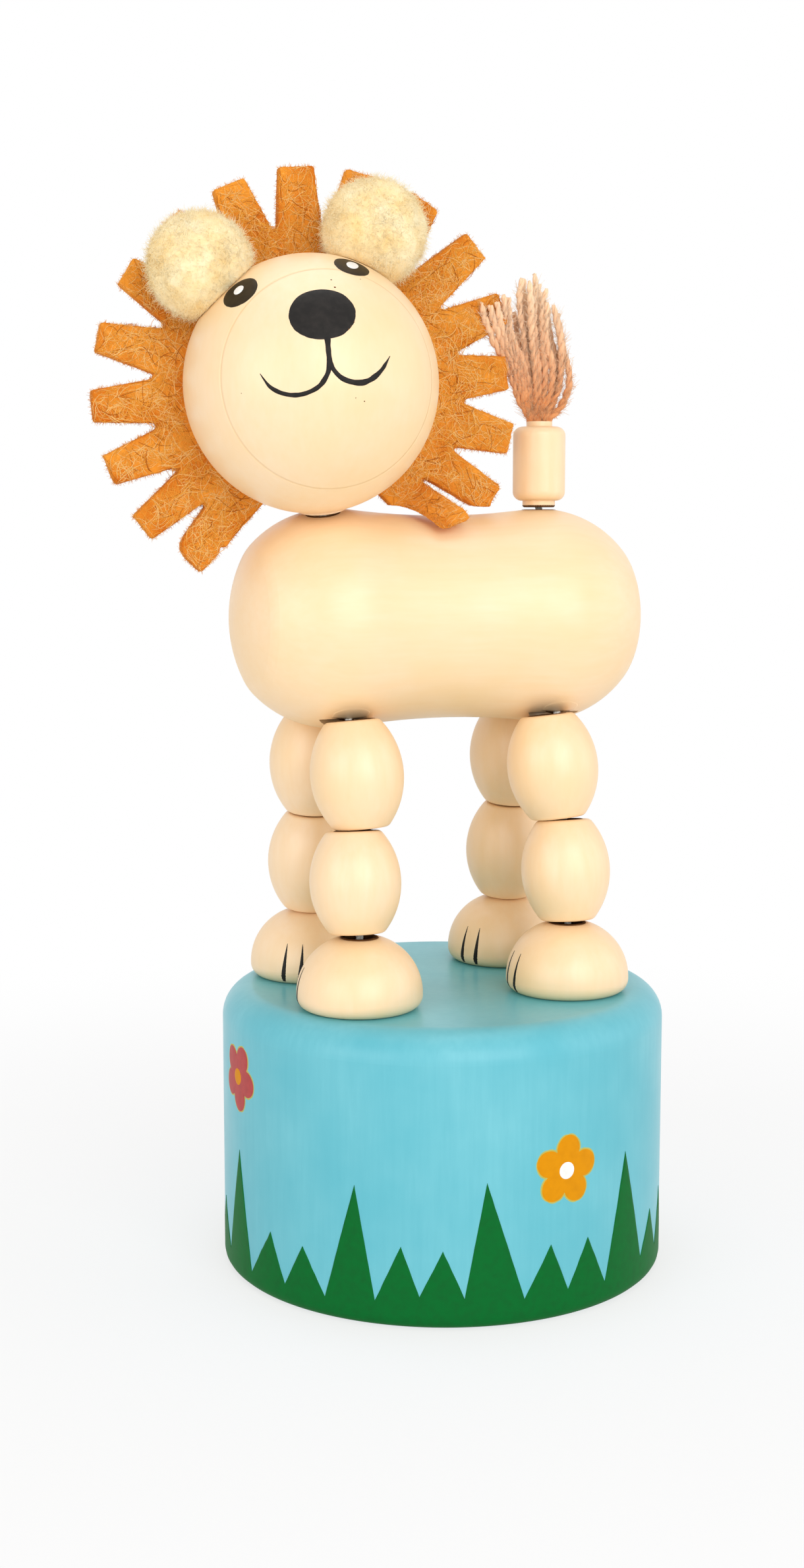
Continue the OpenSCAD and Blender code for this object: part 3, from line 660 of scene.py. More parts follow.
# strands as seen in the photograph: (aside, up) in mm from the tail bead's top, and how far the tip stands towards it
TUFT = [([(-1.05, 0.35), (-2.15, 2.2), (-3.14, 4.65), (-4.3, 6.98), (-5.12, 8.6), (-5.8, 10.0), (-6.1, 11.28)], 4.6),
        ([(-0.93, 0.35), (-1.86, 2.67), (-2.9, 5.35), (-3.95, 7.67), (-4.88, 9.77), (-5.23, 11.05)], 4.2),
        ([(-0.81, 0.35), (-1.69, 3.02), (-2.56, 5.58), (-3.37, 7.44), (-4.19, 9.65), (-4.53, 11.4)], 4.0),
        ([(-0.7, 0.35), (-1.5, 3.26), (-2.44, 5.8), (-3.14, 7.8), (-3.6, 9.77), (-3.84, 12.2)], 3.4),
        ([(-0.7, 0.47), (-1.4, 4.19), (-1.98, 6.16), (-2.67, 7.67), (-3.14, 9.3), (-3.37, 11.98)], 3.0),
        ([(-0.58, 0.47), (-1.16, 3.6), (-1.51, 6.5), (-1.74, 8.84), (-2.2, 11.16), (-1.98, 13.95)], 1.6),
        ([(-0.47, 0.47), (-0.81, 3.6), (-1.16, 6.5), (-1.4, 9.3), (-1.63, 11.74), (-1.69, 14.07)], 0.6),
        ([(-0.29, 0.47), (-0.47, 3.6), (-0.7, 6.5), (-0.93, 9.3), (-1.05, 11.74), (-1.22, 13.6)], 2.2),
        ([(-0.12, 0.47), (-0.12, 3.6), (-0.35, 6.5), (-0.58, 9.3), (-0.64, 11.98), (-0.7, 14.5)], 1.2),
        ([(0.06, 0.47), (0.17, 3.6), (0.0, 6.5), (-0.17, 9.3), (-0.23, 11.86), (-0.06, 13.66)], -0.4),
        ([(0.23, 0.47), (0.52, 3.6), (0.41, 6.5), (0.23, 9.3), (0.17, 11.4), (0.52, 13.02)], 0.9),
        ([(0.0, 0.47), (-0.29, 4.19), (-0.41, 7.67), (0.0, 10.58), (0.12, 12.9)], -1.6),
        ([(0.35, 0.47), (1.16, 3.26), (1.16, 5.8), (0.64, 7.9), (0.58, 10.0), (0.64, 11.74)], 1.0),
        ([(0.52, 0.47), (1.63, 3.6), (1.86, 5.93), (1.16, 8.26), (0.81, 10.23), (0.99, 11.4)], -1.2),
        ([(0.7, 0.47), (1.86, 3.14), (2.09, 5.58), (2.2, 7.67), (1.8, 9.53), (1.28, 11.5)], 0.4),
        ([(1.05, 0.35), (2.2, 1.63), (2.97, 3.72), (2.73, 5.58), (2.44, 6.98), (2.09, 8.6), (1.69, 10.58)], -0.3),
        ([(-0.2, 0.47), (-0.6, 4.8), (-0.9, 8.8), (-1.3, 12.6)], -2.2),
        ([(0.2, 0.47), (0.3, 4.8), (0.2, 8.8), (-0.3, 12.4)], -2.8),
        ([(-0.4, 0.47), (-1.3, 4.2), (-2.0, 7.6), (-2.6, 11.0)], -1.2)]
YARN_R, YARN_POINTS = 0.34, 70


def tuft_pieces():
    """Two-ply wool strands bound in the tail bead, with loose fuzz."""
    top = np.array((REAR_X, 0, TAIL_TOP))
    plies, radii, fuzz = [], [], []
    for flat, near in TUFT:
        flat = [(0.5 * flat[0][0], -1.6), (0.8 * flat[0][0], -0.2)] + flat
        high = flat[-1][1]
        seen = [top + s * ACROSS + (0, 0, h) - AWAY * near * max(h, 0) / high for s, h in flat]
        path = smooth_path(seen, YARN_POINTS)
        path += np.stack([wander(path + 20 * k, 2.2, 0.16, near + 9) for k in range(3)], 1)
        t = np.linspace(0, 1, YARN_POINTS)
        thick = YARN_R * (1 + 0.18 * np.sin(9 * t + 3 * near) + wander(path, 0.8, 0.25, 4))
        thick = thick * np.where(t > 0.9, 1 - 4 * (t - 0.9), 1)
        for ply in twisted(path, 0.38 * YARN_R, 2, 2.3):
            plies.append(ply + 0.07 * np.stack([wander(ply + 7 * k, 0.6, 1.0, near) for k in range(3)], 1))
            radii.append(0.68 * thick)
        along = unit(np.gradient(path, axis=0))
        count = 460
        start = seeded.integers(8, 64, count)
        out = unit(np.cross(along[start], seeded.normal(size=(count, 3))))
        length = seeded.uniform(0.4, 1.1, count)
        s = np.linspace(0, 1, 5)
        way = 0.85 * along[start] + seeded.uniform(0.02, 0.45, (count, 1)) * out
        fuzz.append(hairs(path[start] + out * YARN_R * 0.7, (length[:, None] * s, way),
                          (0.3 * s ** 2, seeded.normal(size=(count, 3)))))
    yarn = piece("yarn_tuft", *strand_mesh(plies, radii, 7), tuft_yarn)
    fuzz = np.concatenate(fuzz)
    thin = np.full(len(fuzz), 0.03)[:, None] * np.linspace(1, 0.4, 5)
    loose = piece("yarn_fuzz", *strand_mesh(fuzz, thin, 3), tuft_fuzz)
    for made in (yarn, loose):
        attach(made, "tail")
    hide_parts("tail_tuft")


tuft_pieces()


# Strings, knots and spring

KNOT_POINTS = 60
LOW_KNOT, NECK_TOP_KNOT = 6.3, 21.55  # from the middle of a hump to the knots of the neck's and the tail's string


def cord_piece(name, points):
    """A length of three-ply nylon cord."""
    run = np.linalg.norm(np.diff(np.asarray(points, float), axis=0), axis=1).sum()
    count = max(8, int(run / 0.18))
    plies = twisted(smooth_path(points, count), 0.46 * STRING_D / 2, 3, 2.2)
    made = piece(name, *strand_mesh(plies, np.full(plies.shape[:2], 0.53 * STRING_D / 2), 6), nylon)
    return made


def tie(name, middle, along, seed, body):
    """An overhand knot pulled tight on a body: a loop of cord that crosses itself."""
    along = unit(np.asarray(along, float))
    u = unit(np.cross(along, (0.3, 0.9, 0.2)))
    v = np.cross(along, u)
    t = np.linspace(0, 2 * math.pi, KNOT_POINTS)
    r = 0.62 + 0.14 * np.cos(3 * t + seed)
    path = (np.asarray(middle) + np.outer(r * np.cos(2 * t), u) + np.outer(r * np.sin(2 * t), v)
            + np.outer(0.42 * np.sin(3 * t), along))
    knot = piece(name, *strand_mesh(path[None], np.full((1, KNOT_POINTS), 0.40), 8), nylon)
    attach(knot, body)


def on_leg(leg, along):
    """A point of a leg's string, that far up the leg from the foot's top."""
    x, side = LEGS[leg]
    return np.array((x, side * (STANCE_Y - math.sin(LEAN) * along), FOOT_TOP + math.cos(LEAN) * along))


# where a thigh rolls on the body, from the middle of its seat, and its swing with the button fully in: the slack
# string of a hip is in two lengths, which overlap in the bores at rest and whose tips meet when the lion is down
HIP_PIVOT = np.array((-3.2, 0, -0.15))
HIP_SWING = np.array(Matrix.Rotation(math.radians(60), 3, "Y"))

for leg, (x, side) in LEGS.items():
    low, high = leg + "_lower_leg", leg + "_upper_leg"
    mid_shin, knee, mid_thigh, hip = (on_leg(leg, a) for a in (MID_SHIN, 1.5 * GAP + SHIN_L, MID_THIGH, LEG_LEN))
    inward = unit(np.array((x, 0, BODY_Z)) - hip)
    end, tight = hip + 4.5 * inward, np.array((0, -0.75 * side, 0))
    well = cord_piece(leg + "_string_in_well", [(x, side * STANCE_Y, z) for z in np.linspace(KNOT_Z, WELL_TOP, 6)])
    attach(well, "base")
    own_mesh(well)
    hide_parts(leg + "_leg_string")
    in_foot = [(x, side * STANCE_Y, z) for z in np.linspace(WELL_TOP, FOOT_TOP - 0.5, 6)]
    ankle = cord_piece(leg + "_string_at_ankle", in_foot + [on_leg(leg, a) for a in (0.5, 2.0, 3.5)] + [mid_shin])
    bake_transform(ankle)
    at_knee = cord_piece(leg + "_string_at_knee",
                         [mid_shin, (mid_shin + knee) / 2, knee, (knee + mid_thigh) / 2, mid_thigh])
    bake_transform(at_knee)
    at_seat, in_body = hip + tight - 0.3 * inward, [(hip + end) / 2 + 0.6 * tight, end]
    if leg == "front_left":
        at_hip = cord_piece(leg + "_string_at_hip", [mid_thigh, (mid_thigh + hip) / 2, at_seat] + in_body)
        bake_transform(at_hip)
    else:
        tip = hip + tight + (-0.2, 0, 1.5)
        fold = HIP_SWING @ (tip - hip - HIP_PIVOT) + hip + HIP_PIVOT
        at_hip = cord_piece(leg + "_string_at_hip", [mid_thigh, (mid_thigh + hip) / 2, at_seat, tip])
        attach(at_hip, high)
        slack = cord_piece(leg + "_string_from_body", [fold, (fold + at_seat) / 2, at_seat] + in_body)
        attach(slack, "torso")
    tie(leg + "_knot", (x, side * STANCE_Y, KNOT_Z), (0, 0, 1), x, "button")
    tie(leg + "_hip_knot", end, inward, x + 1, "torso")

neck_low, neck_high = (FRONT_HUMP + d * NECK for d in (LOW_KNOT, NECK_TOP_KNOT))
neck_cord = cord_piece("neck_cord", [neck_low + (neck_high - neck_low) * t for t in np.linspace(0, 1, 6)])
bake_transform(neck_cord)
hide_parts("neck_string")
tail_low = REAR_HUMP + (0, 0, LOW_KNOT)
tail_cord = cord_piece("tail_cord", [tail_low + (0, 0, h) for h in np.linspace(0, TAIL_TOP - 2.8 - tail_low[2], 6)])
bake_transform(tail_cord)
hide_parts("tail_string")
tie("neck_low_knot", neck_low, NECK, 2, "torso")
tie("neck_high_knot", neck_high, NECK, 2, "head")
tie("tail_knot", tail_low, (0, 0, 1), 2, "torso")


def spring_coil():
    """A compression spring of round wire with closed end turns."""
    turns, count = 4.5, 320
    t = np.linspace(0, 1, count)
    dead = 0.16
    rise = np.clip((t - dead) / (1 - 2 * dead), 0, 1)
    rise = 0.10 * t + 0.90 * (0.7 * rise + 0.3 * rise ** 2 * (3 - 2 * rise))
    z = SPRING_FROM + SPRING_WIRE / 2 + (SPRING_TO - SPRING_FROM - SPRING_WIRE) * rise
    turn = 2 * math.pi * turns * t
    path = np.column_stack((SPRING_R * np.cos(turn), SPRING_R * np.sin(turn), z))
    coil = piece("wire_spring", *strand_mesh(path[None], np.full((1, count), SPRING_WIRE / 2), 12), spring_steel)
    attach(coil, "base")
    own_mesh(coil)
    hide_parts("return_spring")


spring_coil()


# Leg beads, and the mouths of the bores in dark brown: scorch, and painted shade in the joints

BORE_R, BEAD_END_R, BEAD_EDGE, LIP_R = 1.4, 2.62, 0.65, 2.0
SHIN_D, THIGH_D, BEAD_SIDES, BURR_R = 8.9, 9.1, 64, 1.96
SCORCH_R, SEAT_R = 1.38, 1.46  # inside of the dark brown lining in a bore, and of the dark ring round one: scorch, and painted shade in the joints
LIP_ROWS, LIP_COLS = 25, 10
# how far a bead has slid towards the tail on its slack string, in mm, how far it tips forward, in degrees, and the
# crown of its lower and upper end
LOOSE = {"front_left_shin": (-0.2, 0, -0.12, 0.1), "front_left_thigh": (0.4, 3, 0.02, 0.1),
         "rear_left_thigh": (-1.0, 4.5, 0.02, 0.0)}


def turned_bead(name, middle, axis, d, l, body):
    """A barrel bead: one long curve from end to end, softened edges, flat ends, and a bore with a brown burr of
    scorch and painted shade.
    """
    slid, tipped, low, high = LOOSE.get(name, (0, 0, 0.05, 0.1))
    axis = unit(axis + np.array((-math.tan(math.radians(tipped)), 0, 0)))
    middle = middle + np.array((slid, 0, 0)) + (high - low) / 2 * axis
    drop, half = d / 2 - BEAD_END_R, (l + low + high) / 2
    curve = (half ** 2 + drop ** 2) / (2 * drop)
    back = d / 2 - curve
    edge_r = back + math.sqrt((curve - BEAD_EDGE) ** 2 - (half - BEAD_EDGE) ** 2)
    lean = math.atan2(half - BEAD_EDGE, edge_r - back)
    side = [(back + curve * math.cos(t), curve * math.sin(t)) for t in np.linspace(0, lean, 15)]
    side += [(edge_r + BEAD_EDGE * math.cos(t), half - BEAD_EDGE + BEAD_EDGE * math.sin(t))
             for t in np.linspace(lean, math.pi / 2, 9)[1:]]
    side += [(1.95, half), (1.88, half + 0.02), (1.75, half + 0.06), (BORE_R + 0.1, half + 0.07),
             (BORE_R + 0.02, half + 0.03), (BORE_R, half - 0.1), (BORE_R, half - 1.5)]
    profile = [(r, -h) for r, h in side[:0:-1]] + side
    points, faces = lathe(profile, middle, axis, BEAD_SIDES, closed=True)
    rings = [r for r, _ in profile]
    # the faces round the bore are dark brown: scorch, and painted shade in the gap at the joint
    burnt = np.repeat([int(max(a, b) < BURR_R) for a, b in zip(rings, rings[1:] + rings[:1])], BEAD_SIDES)
    bead = piece(name.replace("shin", "lower_bead").replace("thigh", "upper_bead"), points, faces, lion_paint,
                 scorch_and_shade_brown, face_materials=burnt)
    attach(bead, body)
    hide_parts(name)


def bore_mouth(foot, axis):
    """The brown burr that a hot drill leaves round a bore, darkened also as painted shade of the joint."""
    burr = [(SCORCH_R, -1.6), (SCORCH_R, 0.05), (1.42, 0.1), (1.7, 0.1), (1.82, 0.05), (1.9, -0.04)]
    return lathe(burr, foot, axis, 40)


body_tree = surface_of(nodes["body"])


def scorch_and_shade_ring(middle, axis, inner, outer, flat=False, sides=96, rings=12):
    """A dark brown ring on the body round a bore, scorch and painted shade of the joint, laid on whatever surface
    lies there, or only on the flat of the seat."""
    u = unit(np.cross(axis, (1.0, 0.2, 0)))
    v = np.cross(axis, u)
    points, seated = [], []
    for i, r in enumerate(np.linspace(inner, outer, rings)):
        for k in range(sides):
            t = 2 * math.pi * k / sides
            start = middle - 3 * axis + r * (math.cos(t) * u + math.sin(t) * v)
            hit, normal, _, _ = body_tree.ray_cast(Vector(start), Vector(axis))
            seated.append(not flat or abs((np.array(hit) - middle) @ axis) < 0.02)
            points.append(np.array(hit) + np.array(normal) * (0.02 if i < rings - 1 or flat else -0.02))
    faces = grid(rings, sides, wrap=True, flip=True)
    return np.array(points), [f for f in faces if all(seated[k] for k in f)]


def hip_lip(hump, hip, side):
    """The painted rim of a hip's bore: the round of the body carried on to the seat, on the side that shows."""
    down = unit(hip - hump)
    out = np.cross((side, 0, 0), down)
    points = []
    for along in np.linspace(-1, 1, LIP_ROWS):
        reach = LIP_R * math.sqrt(max(1 - along ** 2, 0.0))
        near = max(-0.3, -reach)
        rows = [(near, -0.6)]
        rows += [(near + (reach - near) * t, 0.015 if t < 0.99 else -0.04) for t in np.linspace(0, 1, LIP_COLS - 1)]
        for across, lift in rows:
            ray = unit(down * BODY_R + LIP_R * along * np.array((1.0, 0, 0)) + across * out)
            points.append(hump + ray * (BODY_R + lift - (0.055 if abs(along) > 0.99 and lift > 0 else 0)))
    return np.array(points), grid(LIP_ROWS, LIP_COLS, flip=True)


for leg, (x, side) in LEGS.items():
    up = np.array((0, -side * math.sin(LEAN), math.cos(LEAN)))
    turned_bead(leg + "_shin", on_leg(leg, MID_SHIN), up, SHIN_D, SHIN_L, leg + "_lower_leg")
    turned_bead(leg + "_thigh", on_leg(leg, MID_THIGH), up, THIGH_D, THIGH_L, leg + "_upper_leg")
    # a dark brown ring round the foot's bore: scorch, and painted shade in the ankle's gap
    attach(piece(leg + "_foot_scorch_and_shade", *bore_mouth(on_leg(leg, 0), (0, 0, 1)), scorch_and_shade_brown), "base")
    hip = on_leg(leg, LEG_LEN)
    inward = unit(np.array((x, 0, BODY_Z)) - hip)
    # a dark brown lining in the hip's bore and a ring on its seat: scorch, and painted shade in the gap under the
    # thigh
    hip_bore = lathe([(SCORCH_R, 5.7), (SCORCH_R, 0.45)], hip, inward, 40)
    hip_marks = joined([hip_bore, scorch_and_shade_ring(hip, up, SEAT_R, 3.06, flat=True)])
    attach(piece(leg + "_hip_scorch_and_shade", *hip_marks, scorch_and_shade_brown), "torso")
    lip = piece(leg + "_hip_lip", *hip_lip(np.array((x, 0, BODY_Z)), hip, side), body_paint)
    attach(lip, "torso")
# dark brown rings at the neck, on the body and under the head: painted shade in the gap between them
neck_seat = scorch_and_shade_ring(FRONT_HUMP + BODY_R * NECK, -NECK, SEAT_R, 1.72)
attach(piece("neck_seat_shade", *neck_seat, scorch_and_shade_brown), "torso")
seat_profile = [(r, -math.sqrt((HEAD_R + lift) ** 2 - r ** 2))
                for r, lift in ((SEAT_R, 0.03), (1.7, 0.03), (1.9, 0.03), (2.1, -0.03))]
head_seat = lathe(seat_profile, HEAD_AT, NECK, 48)
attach(piece("head_seat_shade", *head_seat, scorch_and_shade_brown), "head")
# a dark brown ring round the tail's bore and a rim under the tail bead's neck: painted shade in the gap there
tail_seat = scorch_and_shade_ring(REAR_HUMP + (0, 0, BODY_R), np.array((0, 0, -1.0)), SEAT_R, 1.75)
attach(piece("tail_seat_shade", *tail_seat, scorch_and_shade_brown), "torso")
tail_rim = lathe([(0.88, 1.2), (0.88, -0.12), (0.95, -0.16), (1.5, -0.16), (1.6, -0.1), (1.67, 0.05)],
                 (REAR_X, 0, TAIL_FOOT), (0, 0, 1), 40)
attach(piece("tail_rim_shade", *tail_rim, scorch_and_shade_brown), "tail")


# Painted face


def painted_spot(name, outline, place, material, thick=0.05, rings=8):
    """A patch of enamel with a rounded rim: outline points are about its middle, and place lays them on a surface."""
    outline = np.asarray(outline, float)
    count = len(outline)
    points = [place(np.zeros((1, 2)), thick)]
    for i in range(1, rings + 1):
        t = i / rings
        points.append(place(outline * (t if i < rings else 1.0), thick * (1 - t ** 8) - (0.03 if i == rings else 0)))
    points = np.concatenate(points)
    faces = [(0, 1 + k, 1 + (k + 1) % count) for k in range(count)] + grid(rings, count, True, 1, True)
    return piece(name, points, faces, material)


def on_ball(middle, u, v):
    """Lays flat points on the ball about a middle, along two given directions."""
    middle, u, v = (np.asarray(p, float) for p in (middle, u, v))
    return lambda flat, lift: on_head(unit(middle + flat[:, :1] * u + flat[:, 1:] * v) * (HEAD_R + lift))


def oval(power=2.0, wobble=0.0, seed=0, count=64):
    """A unit oval; a higher power makes it squarer, and a wobble makes it hand-painted."""
    t = around(count)
    c, s = np.cos(t), np.sin(t)
    r = (np.abs(c) ** power + np.abs(s) ** power) ** (-1 / power)
    r *= 1 + wander(np.column_stack((c, s, np.zeros(count))), 0.6, wobble, seed)
    return np.column_stack((r * c, r * s))


def painted_line(points, widths, lift=0.04):
    """Points and faces of a brush line on the ball, its edges rounded down into the paint below."""
    path = smooth_path(points, 6 * len(points))
    normal = unit(path)
    side = np.cross(normal, unit(np.gradient(path, axis=0)))
    width = np.interp(np.linspace(0, 1, len(path)), np.linspace(0, 1, len(widths)), widths)
    width = width * (1 + wander(path, 0.7, 0.22, 5))
    rows = []
    for across, up in ((-0.5, -0.03), (-0.36, 0.6 * lift), (0, lift), (0.36, 0.6 * lift), (0.5, -0.03)):
        rows.append(on_head(unit(path + side * (across * width)[:, None]) * (HEAD_R + up)))
    return np.concatenate(rows), [f[::-1] for f in grid(len(rows), len(path))]


# spot: outline, middle on the ball, its two half widths, paint and thickness
SPOTS = {"nose": (oval(2.08, 0.05, 3, 96), (-0.27, -10.58, 5.72), (3.24, -0.37, -0.53), (0.75, 1.29, 2.37),
                  black_enamel, 0.07),
         "left_eye": (oval(2.1, 0.02, 1), (4.48, -5.57, 9.7), (1.6, -0.11, -0.82), (-0.74, -1.95, -0.63),
                      brown_enamel, 0.05),
         "right_eye": (oval(2.1, 0.02, 2), (-6.15, -4.98, 9.09), (1.62, -0.41, 0.87), (0.12, -1.96, -0.89),
                       brown_enamel, 0.05),
         "left_eye_light": (oval(), (4.54, -5.46, 9.73), (0.6, 0.04, -0.25), (-0.39, -0.97, -0.34),
                            white_enamel, 0.09),
         "right_eye_light": (oval(), (-6.14, -4.74, 9.22), (0.52, -0.07, 0.3), (0.03, -0.62, -0.3),
                             white_enamel, 0.09)}
face = [painted_spot(name, outline, on_ball(middle, u, v), paint, thick)
        for name, (outline, middle, u, v, paint, thick) in SPOTS.items()]
mouth = joined([
    painted_line([(-0.42, -11.4, 3.9), (-0.44, -11.48, 3.62), (-0.65, -11.81, 2.32), (-0.77, -11.96, 1.2)],
                 (0.7, 0.6, 0.54, 0.66)),
    painted_line([(-0.73, -11.94, 1.45), (-1.12, -11.99, 0.41), (-1.99, -11.87, -0.53), (-3.15, -11.59, -0.95),
                  (-4.27, -11.23, -0.96), (-5.33, -10.79, -0.56), (-6.12, -10.38, 0.12), (-6.49, -10.12, 0.86),
                  (-6.71, -9.91, 1.43)], (0.62, 0.54, 0.48, 0.46, 0.47, 0.48, 0.5, 0.3, 0.06)),
    painted_line([(-0.73, -11.94, 1.45), (-0.52, -12.02, 0.58), (0.07, -12.05, -0.23), (0.97, -11.99, -0.73),
                  (1.99, -11.85, -0.92), (3.02, -11.65, -0.66), (4.02, -11.36, -0.06), (5.08, -10.88, 0.99)],
                 (0.5, 0.48, 0.54, 0.58, 0.58, 0.52, 0.4, 0.05))])
face.append(piece("mouth", *mouth, black_enamel))
SPECKS = ((1.04, -11.81, -2.14), (1.82, -11.63, -2.56), (1.62, -11.28, 3.91), (1.9, -11.15, 4.15),
          (-8.44, -8.6, 0.07), (2.32, -10.96, 4.43), (1.62, -8.32, 8.56), (1.66, -9.02, 7.82), (4.52, -7.51, 8.27))
specks = []
for k, at in enumerate(SPECKS):
    normal = unit(np.array(at))
    u = unit(np.cross(normal, (0.2, 0.1, 1)))
    size = 0.06 + 0.07 * ((k * 5) % 4) / 3
    place = on_ball(at, u * size, np.cross(normal, u) * size)
    specks.append(painted_spot(f"paint_speck_{k}", oval(2, 0.3, k, 12), place, scorch_and_shade_brown, 0.02, 2))
for mark in face + specks:
    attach(mark, "head")


# Claws

CLAWS = {"front_left": -18, "front_right": 54, "rear_left": -3, "rear_right": 27}  # their middle, from -X towards -Y
CLAW_LOW, CLAW_HIGH, CLAW_ROWS = 28.75, 32.6, 14


def claw_lines(leg):
    """Two tapered brush lines on the front of a foot."""
    x, side = LEGS[leg]
    tree = surface_of(nodes[leg + "_foot"])
    parts = []
    for off in (-8.5, 8.5):
        a = math.radians(CLAWS[leg] + off)
        out = np.array((-math.cos(a), -math.sin(a), 0))
        across = np.array((-out[1], out[0], 0))
        rows = []
        for h, t in zip(np.linspace(CLAW_LOW, CLAW_HIGH, CLAW_ROWS), np.linspace(0, 1, CLAW_ROWS)):
            width = 0.74 * (1 - t) ** 0.8 * min(1, 0.6 + 3 * t) + 0.05
            for shift, lift in ((-0.5, -0.02), (-0.2, 0.035), (0.2, 0.035), (0.5, -0.02)):
                aside = shift * width + 0.25 * math.sin(2 * t)
                start = np.array((x, side * STANCE_Y, h)) + out * 12 + across * aside
                hit, normal, _, _ = tree.ray_cast(Vector(start), Vector(-out))
                rows.append(np.array(hit) + np.array(normal) * lift)
        parts.append((np.array(rows), grid(CLAW_ROWS, 4)))
    return joined(parts)


for leg in LEGS:
    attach(piece(leg + "_claws", *claw_lines(leg), black_enamel), "base")


# Grass and flowers on the base

# edge of the grass: (degrees round the base from -Y towards +X, height in mm)
GRASS = [(-83.9, 13.63), (-77.3, 1.9), (-68.7, 6.95), (-63.4, 2.3), (-57.4, 6.67), (-50.7, 2.2), (-42.6, 13.63),
         (-37.4, 2.7), (-31.0, 8.1), (-26.5, 3.3), (-20.9, 7.78), (-15.7, 3.2), (-10.4, 14.27), (-0.9, 2.7),
         (6.1, 7.65), (11.1, 2.9), (17.1, 7.57), (23.2, 2.5), (30.9, 14.84), (39.5, 3.2), (46.0, 7.3), (51.0, 2.9),
         (57.0, 8.3), (63.0, 2.8)]
for k in range(5):
    tall = 71 + 41 * k
    GRASS += [(tall, 14.0 + 0.5 * math.sin(2 * k)), (tall + 6.6, 2.6), (tall + 15.2, 7.4 + 0.4 * math.sin(3 * k)),
              (tall + 20.5, 2.7), (tall + 26.5, 7.2 + 0.5 * math.cos(2 * k)), (tall + 33.2, 2.5)]
GRASS.append((276.1, 13.63))


def on_side(angle, height, lift):
    """A point on the base's side, following the round of its bottom edge."""
    a = np.radians(angle)
    low = np.maximum(BASE_BOTTOM_ROUND - height, 0)
    r = BASE_R - BASE_BOTTOM_ROUND + np.sqrt(np.maximum(BASE_BOTTOM_ROUND ** 2 - low ** 2, 0)) + lift
    return np.stack((r * np.sin(a), -r * np.cos(a), height + 0 * r), -1)


def grass_band():
    """Painted grass round the foot of the base, from its bottom edge up to the blades' tips."""
    given = np.array(GRASS)
    even = np.arange(-83.7, 276, 0.35)
    even = even[np.abs(even[:, None] - given[:, 0]).min(1) > 0.1]
    angle = np.sort(np.concatenate((given[:, 0], even)))
    height = np.interp(angle, given[:, 0], given[:, 1])
    height = height + wander(np.column_stack((angle, height, 0 * angle)), 1.5, 0.10, 2)
    rows = [on_side(angle, np.full(len(angle), 0.10), -0.02)]
    foot = BASE_BOTTOM_ROUND
    for level in np.concatenate(([0.18, 0.4, 0.7, foot], foot + np.linspace(0, 1, 12)[1:-1])):
        h = np.full(len(angle), level) if level <= foot else foot + (height - foot) * (level - foot)
        rows.append(on_side(angle, h, 0.035))
    rows += [on_side(angle, height - 0.06, 0.03), on_side(angle, height, -0.02)]
    return piece("painted_grass", np.concatenate(rows), grid(len(rows), len(angle)), grass_enamel)


PETAL_AT, PETAL_R = 2.25, 1.42  # a petal's middle from the flower's, and its radius, in mm


def flower_outline(spin, grow=0.0, count=120):
    """Five round petals, as far out as grow past their edge."""
    t = around(count)
    reach = np.zeros(count)
    for k in range(5):
        a = t - math.radians(spin + 72 * k)
        inside = (PETAL_R + grow) ** 2 - (PETAL_AT * np.sin(a)) ** 2
        edge = PETAL_AT * np.cos(a) + np.sqrt(np.maximum(inside, 0))
        reach = np.maximum(reach, np.where((inside > 0) & (np.cos(a) > 0), edge, 0))
    return np.column_stack((reach * np.sin(t), reach * np.cos(t)))


def on_base(angle, height):
    """Lays flat points on the base's side about a place on it."""
    return lambda flat, lift: on_side(angle + np.degrees(flat[:, 0] / BASE_R), height + flat[:, 1], lift)


def flower(name, angle, height, spin, petals, middle):
    """A five-petal flower with a thin pale edge and a round middle."""
    t = around(40)
    disc, place = 0.97 * np.column_stack((np.sin(t), np.cos(t))), on_base(angle, height)
    return [painted_spot(name + "_edge", flower_outline(spin, 0.13), place, straw_enamel, 0.025),
            painted_spot(name + "_petals", flower_outline(spin), place, petals, 0.06),
            painted_spot(name + "_middle", disc, place, middle, 0.085)]


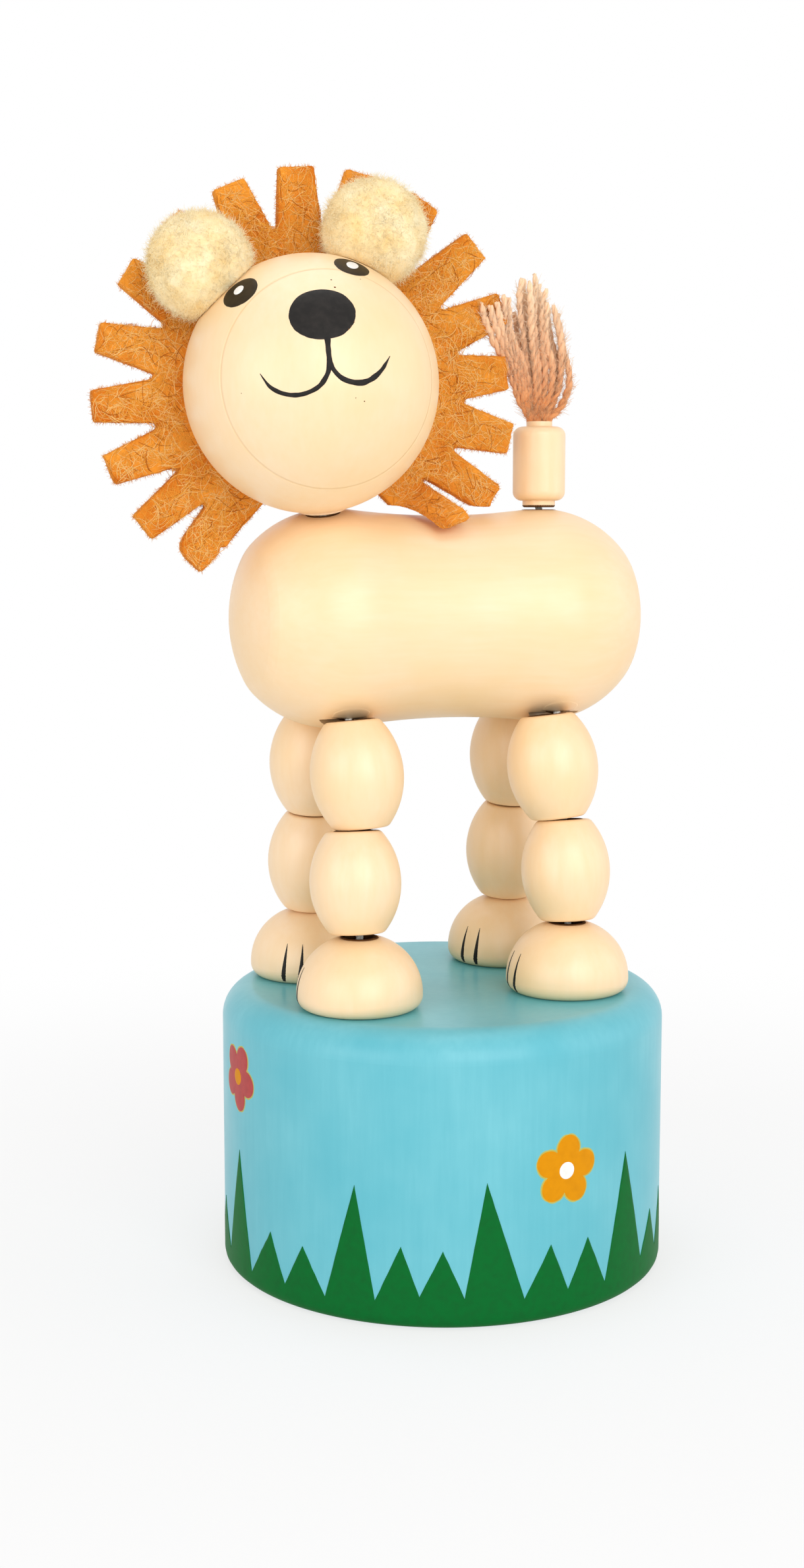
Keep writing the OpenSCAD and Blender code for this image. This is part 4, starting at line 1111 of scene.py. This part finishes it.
painted = [grass_band()]
painted += flower("red_flower", -84.3, 21.0, 172, red_enamel, orange_enamel)
painted += flower("orange_flower", 10.3, 14.58, 6, orange_enamel, white_enamel)
painted += flower("far_red_flower", 103, 20.6, 20, red_enamel, orange_enamel)
painted += flower("far_orange_flower", 183, 16.2, 40, orange_enamel, white_enamel)
for mark in painted:
    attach(mark, "base")


# Floor, light and camera

FLOOR_HALF = 900
floor = piece("floor", [(FLOOR_HALF * a, FLOOR_HALF * b, 0) for a, b in ((-1, -1), (1, -1), (1, 1), (-1, 1))],
              [(0, 1, 2, 3)], studio_floor())

scene = bpy.context.scene
scene.view_settings.view_transform = "Standard"
world = bpy.data.worlds.new("studio")
scene.world = world
world.use_nodes = True
world.node_tree.nodes.clear()
sky = add(world, "ShaderNodeBackground", values={"Color": colour("#FFFFFF"), "Strength": 0.55})
backdrop = add(world, "ShaderNodeBackground", values={"Color": colour("#FFFFFF"), "Strength": 1.0})
both = add(world, "ShaderNodeMixShader",
           links={0: looked_at(world), 1: (sky, "Background"), 2: (backdrop, "Background")})
add(world, "ShaderNodeOutputWorld", links={"Surface": (both, "Shader")})

AIM, SOFTBOX_SIZE = Vector((-2 * MM, 0, 58 * MM)), 420 * MM


def softbox(name, place, power):
    """A square soft light that faces the lion; its place is in mm."""
    lamp = bpy.data.lights.new(name, "AREA")
    lamp.shape, lamp.size, lamp.energy = "SQUARE", SOFTBOX_SIZE, power
    made = bpy.data.objects.new(name, lamp)
    made.location = Vector(place) * MM
    made.rotation_euler = (AIM - made.location).to_track_quat("-Z", "Y").to_euler()
    scene.collection.objects.link(made)


softbox("key_softbox", (20, -580, 260), 1.6)
softbox("left_softbox", (-520, -300, 160), 1.05)
softbox("right_softbox", (520, -240, 200), 0.52)
softbox("top_softbox", (0, 100, 600), 0.7)

camera = bpy.data.cameras.new("camera")
camera.sensor_fit, camera.sensor_width, camera.lens = "AUTO", 36, 46.42
camera.clip_start = 0.005
eye = bpy.data.objects.new("camera", camera)
eye.location = Vector((-74.0, -189.89, 74.9)) * MM
pitch = math.radians(7.3)
look = Vector(AWAY) * math.cos(pitch) - Vector((0, 0, 1)) * math.sin(pitch)
eye.rotation_euler = look.to_track_quat("-Z", "Y").to_euler()
scene.collection.objects.link(eye)
scene.camera = eye
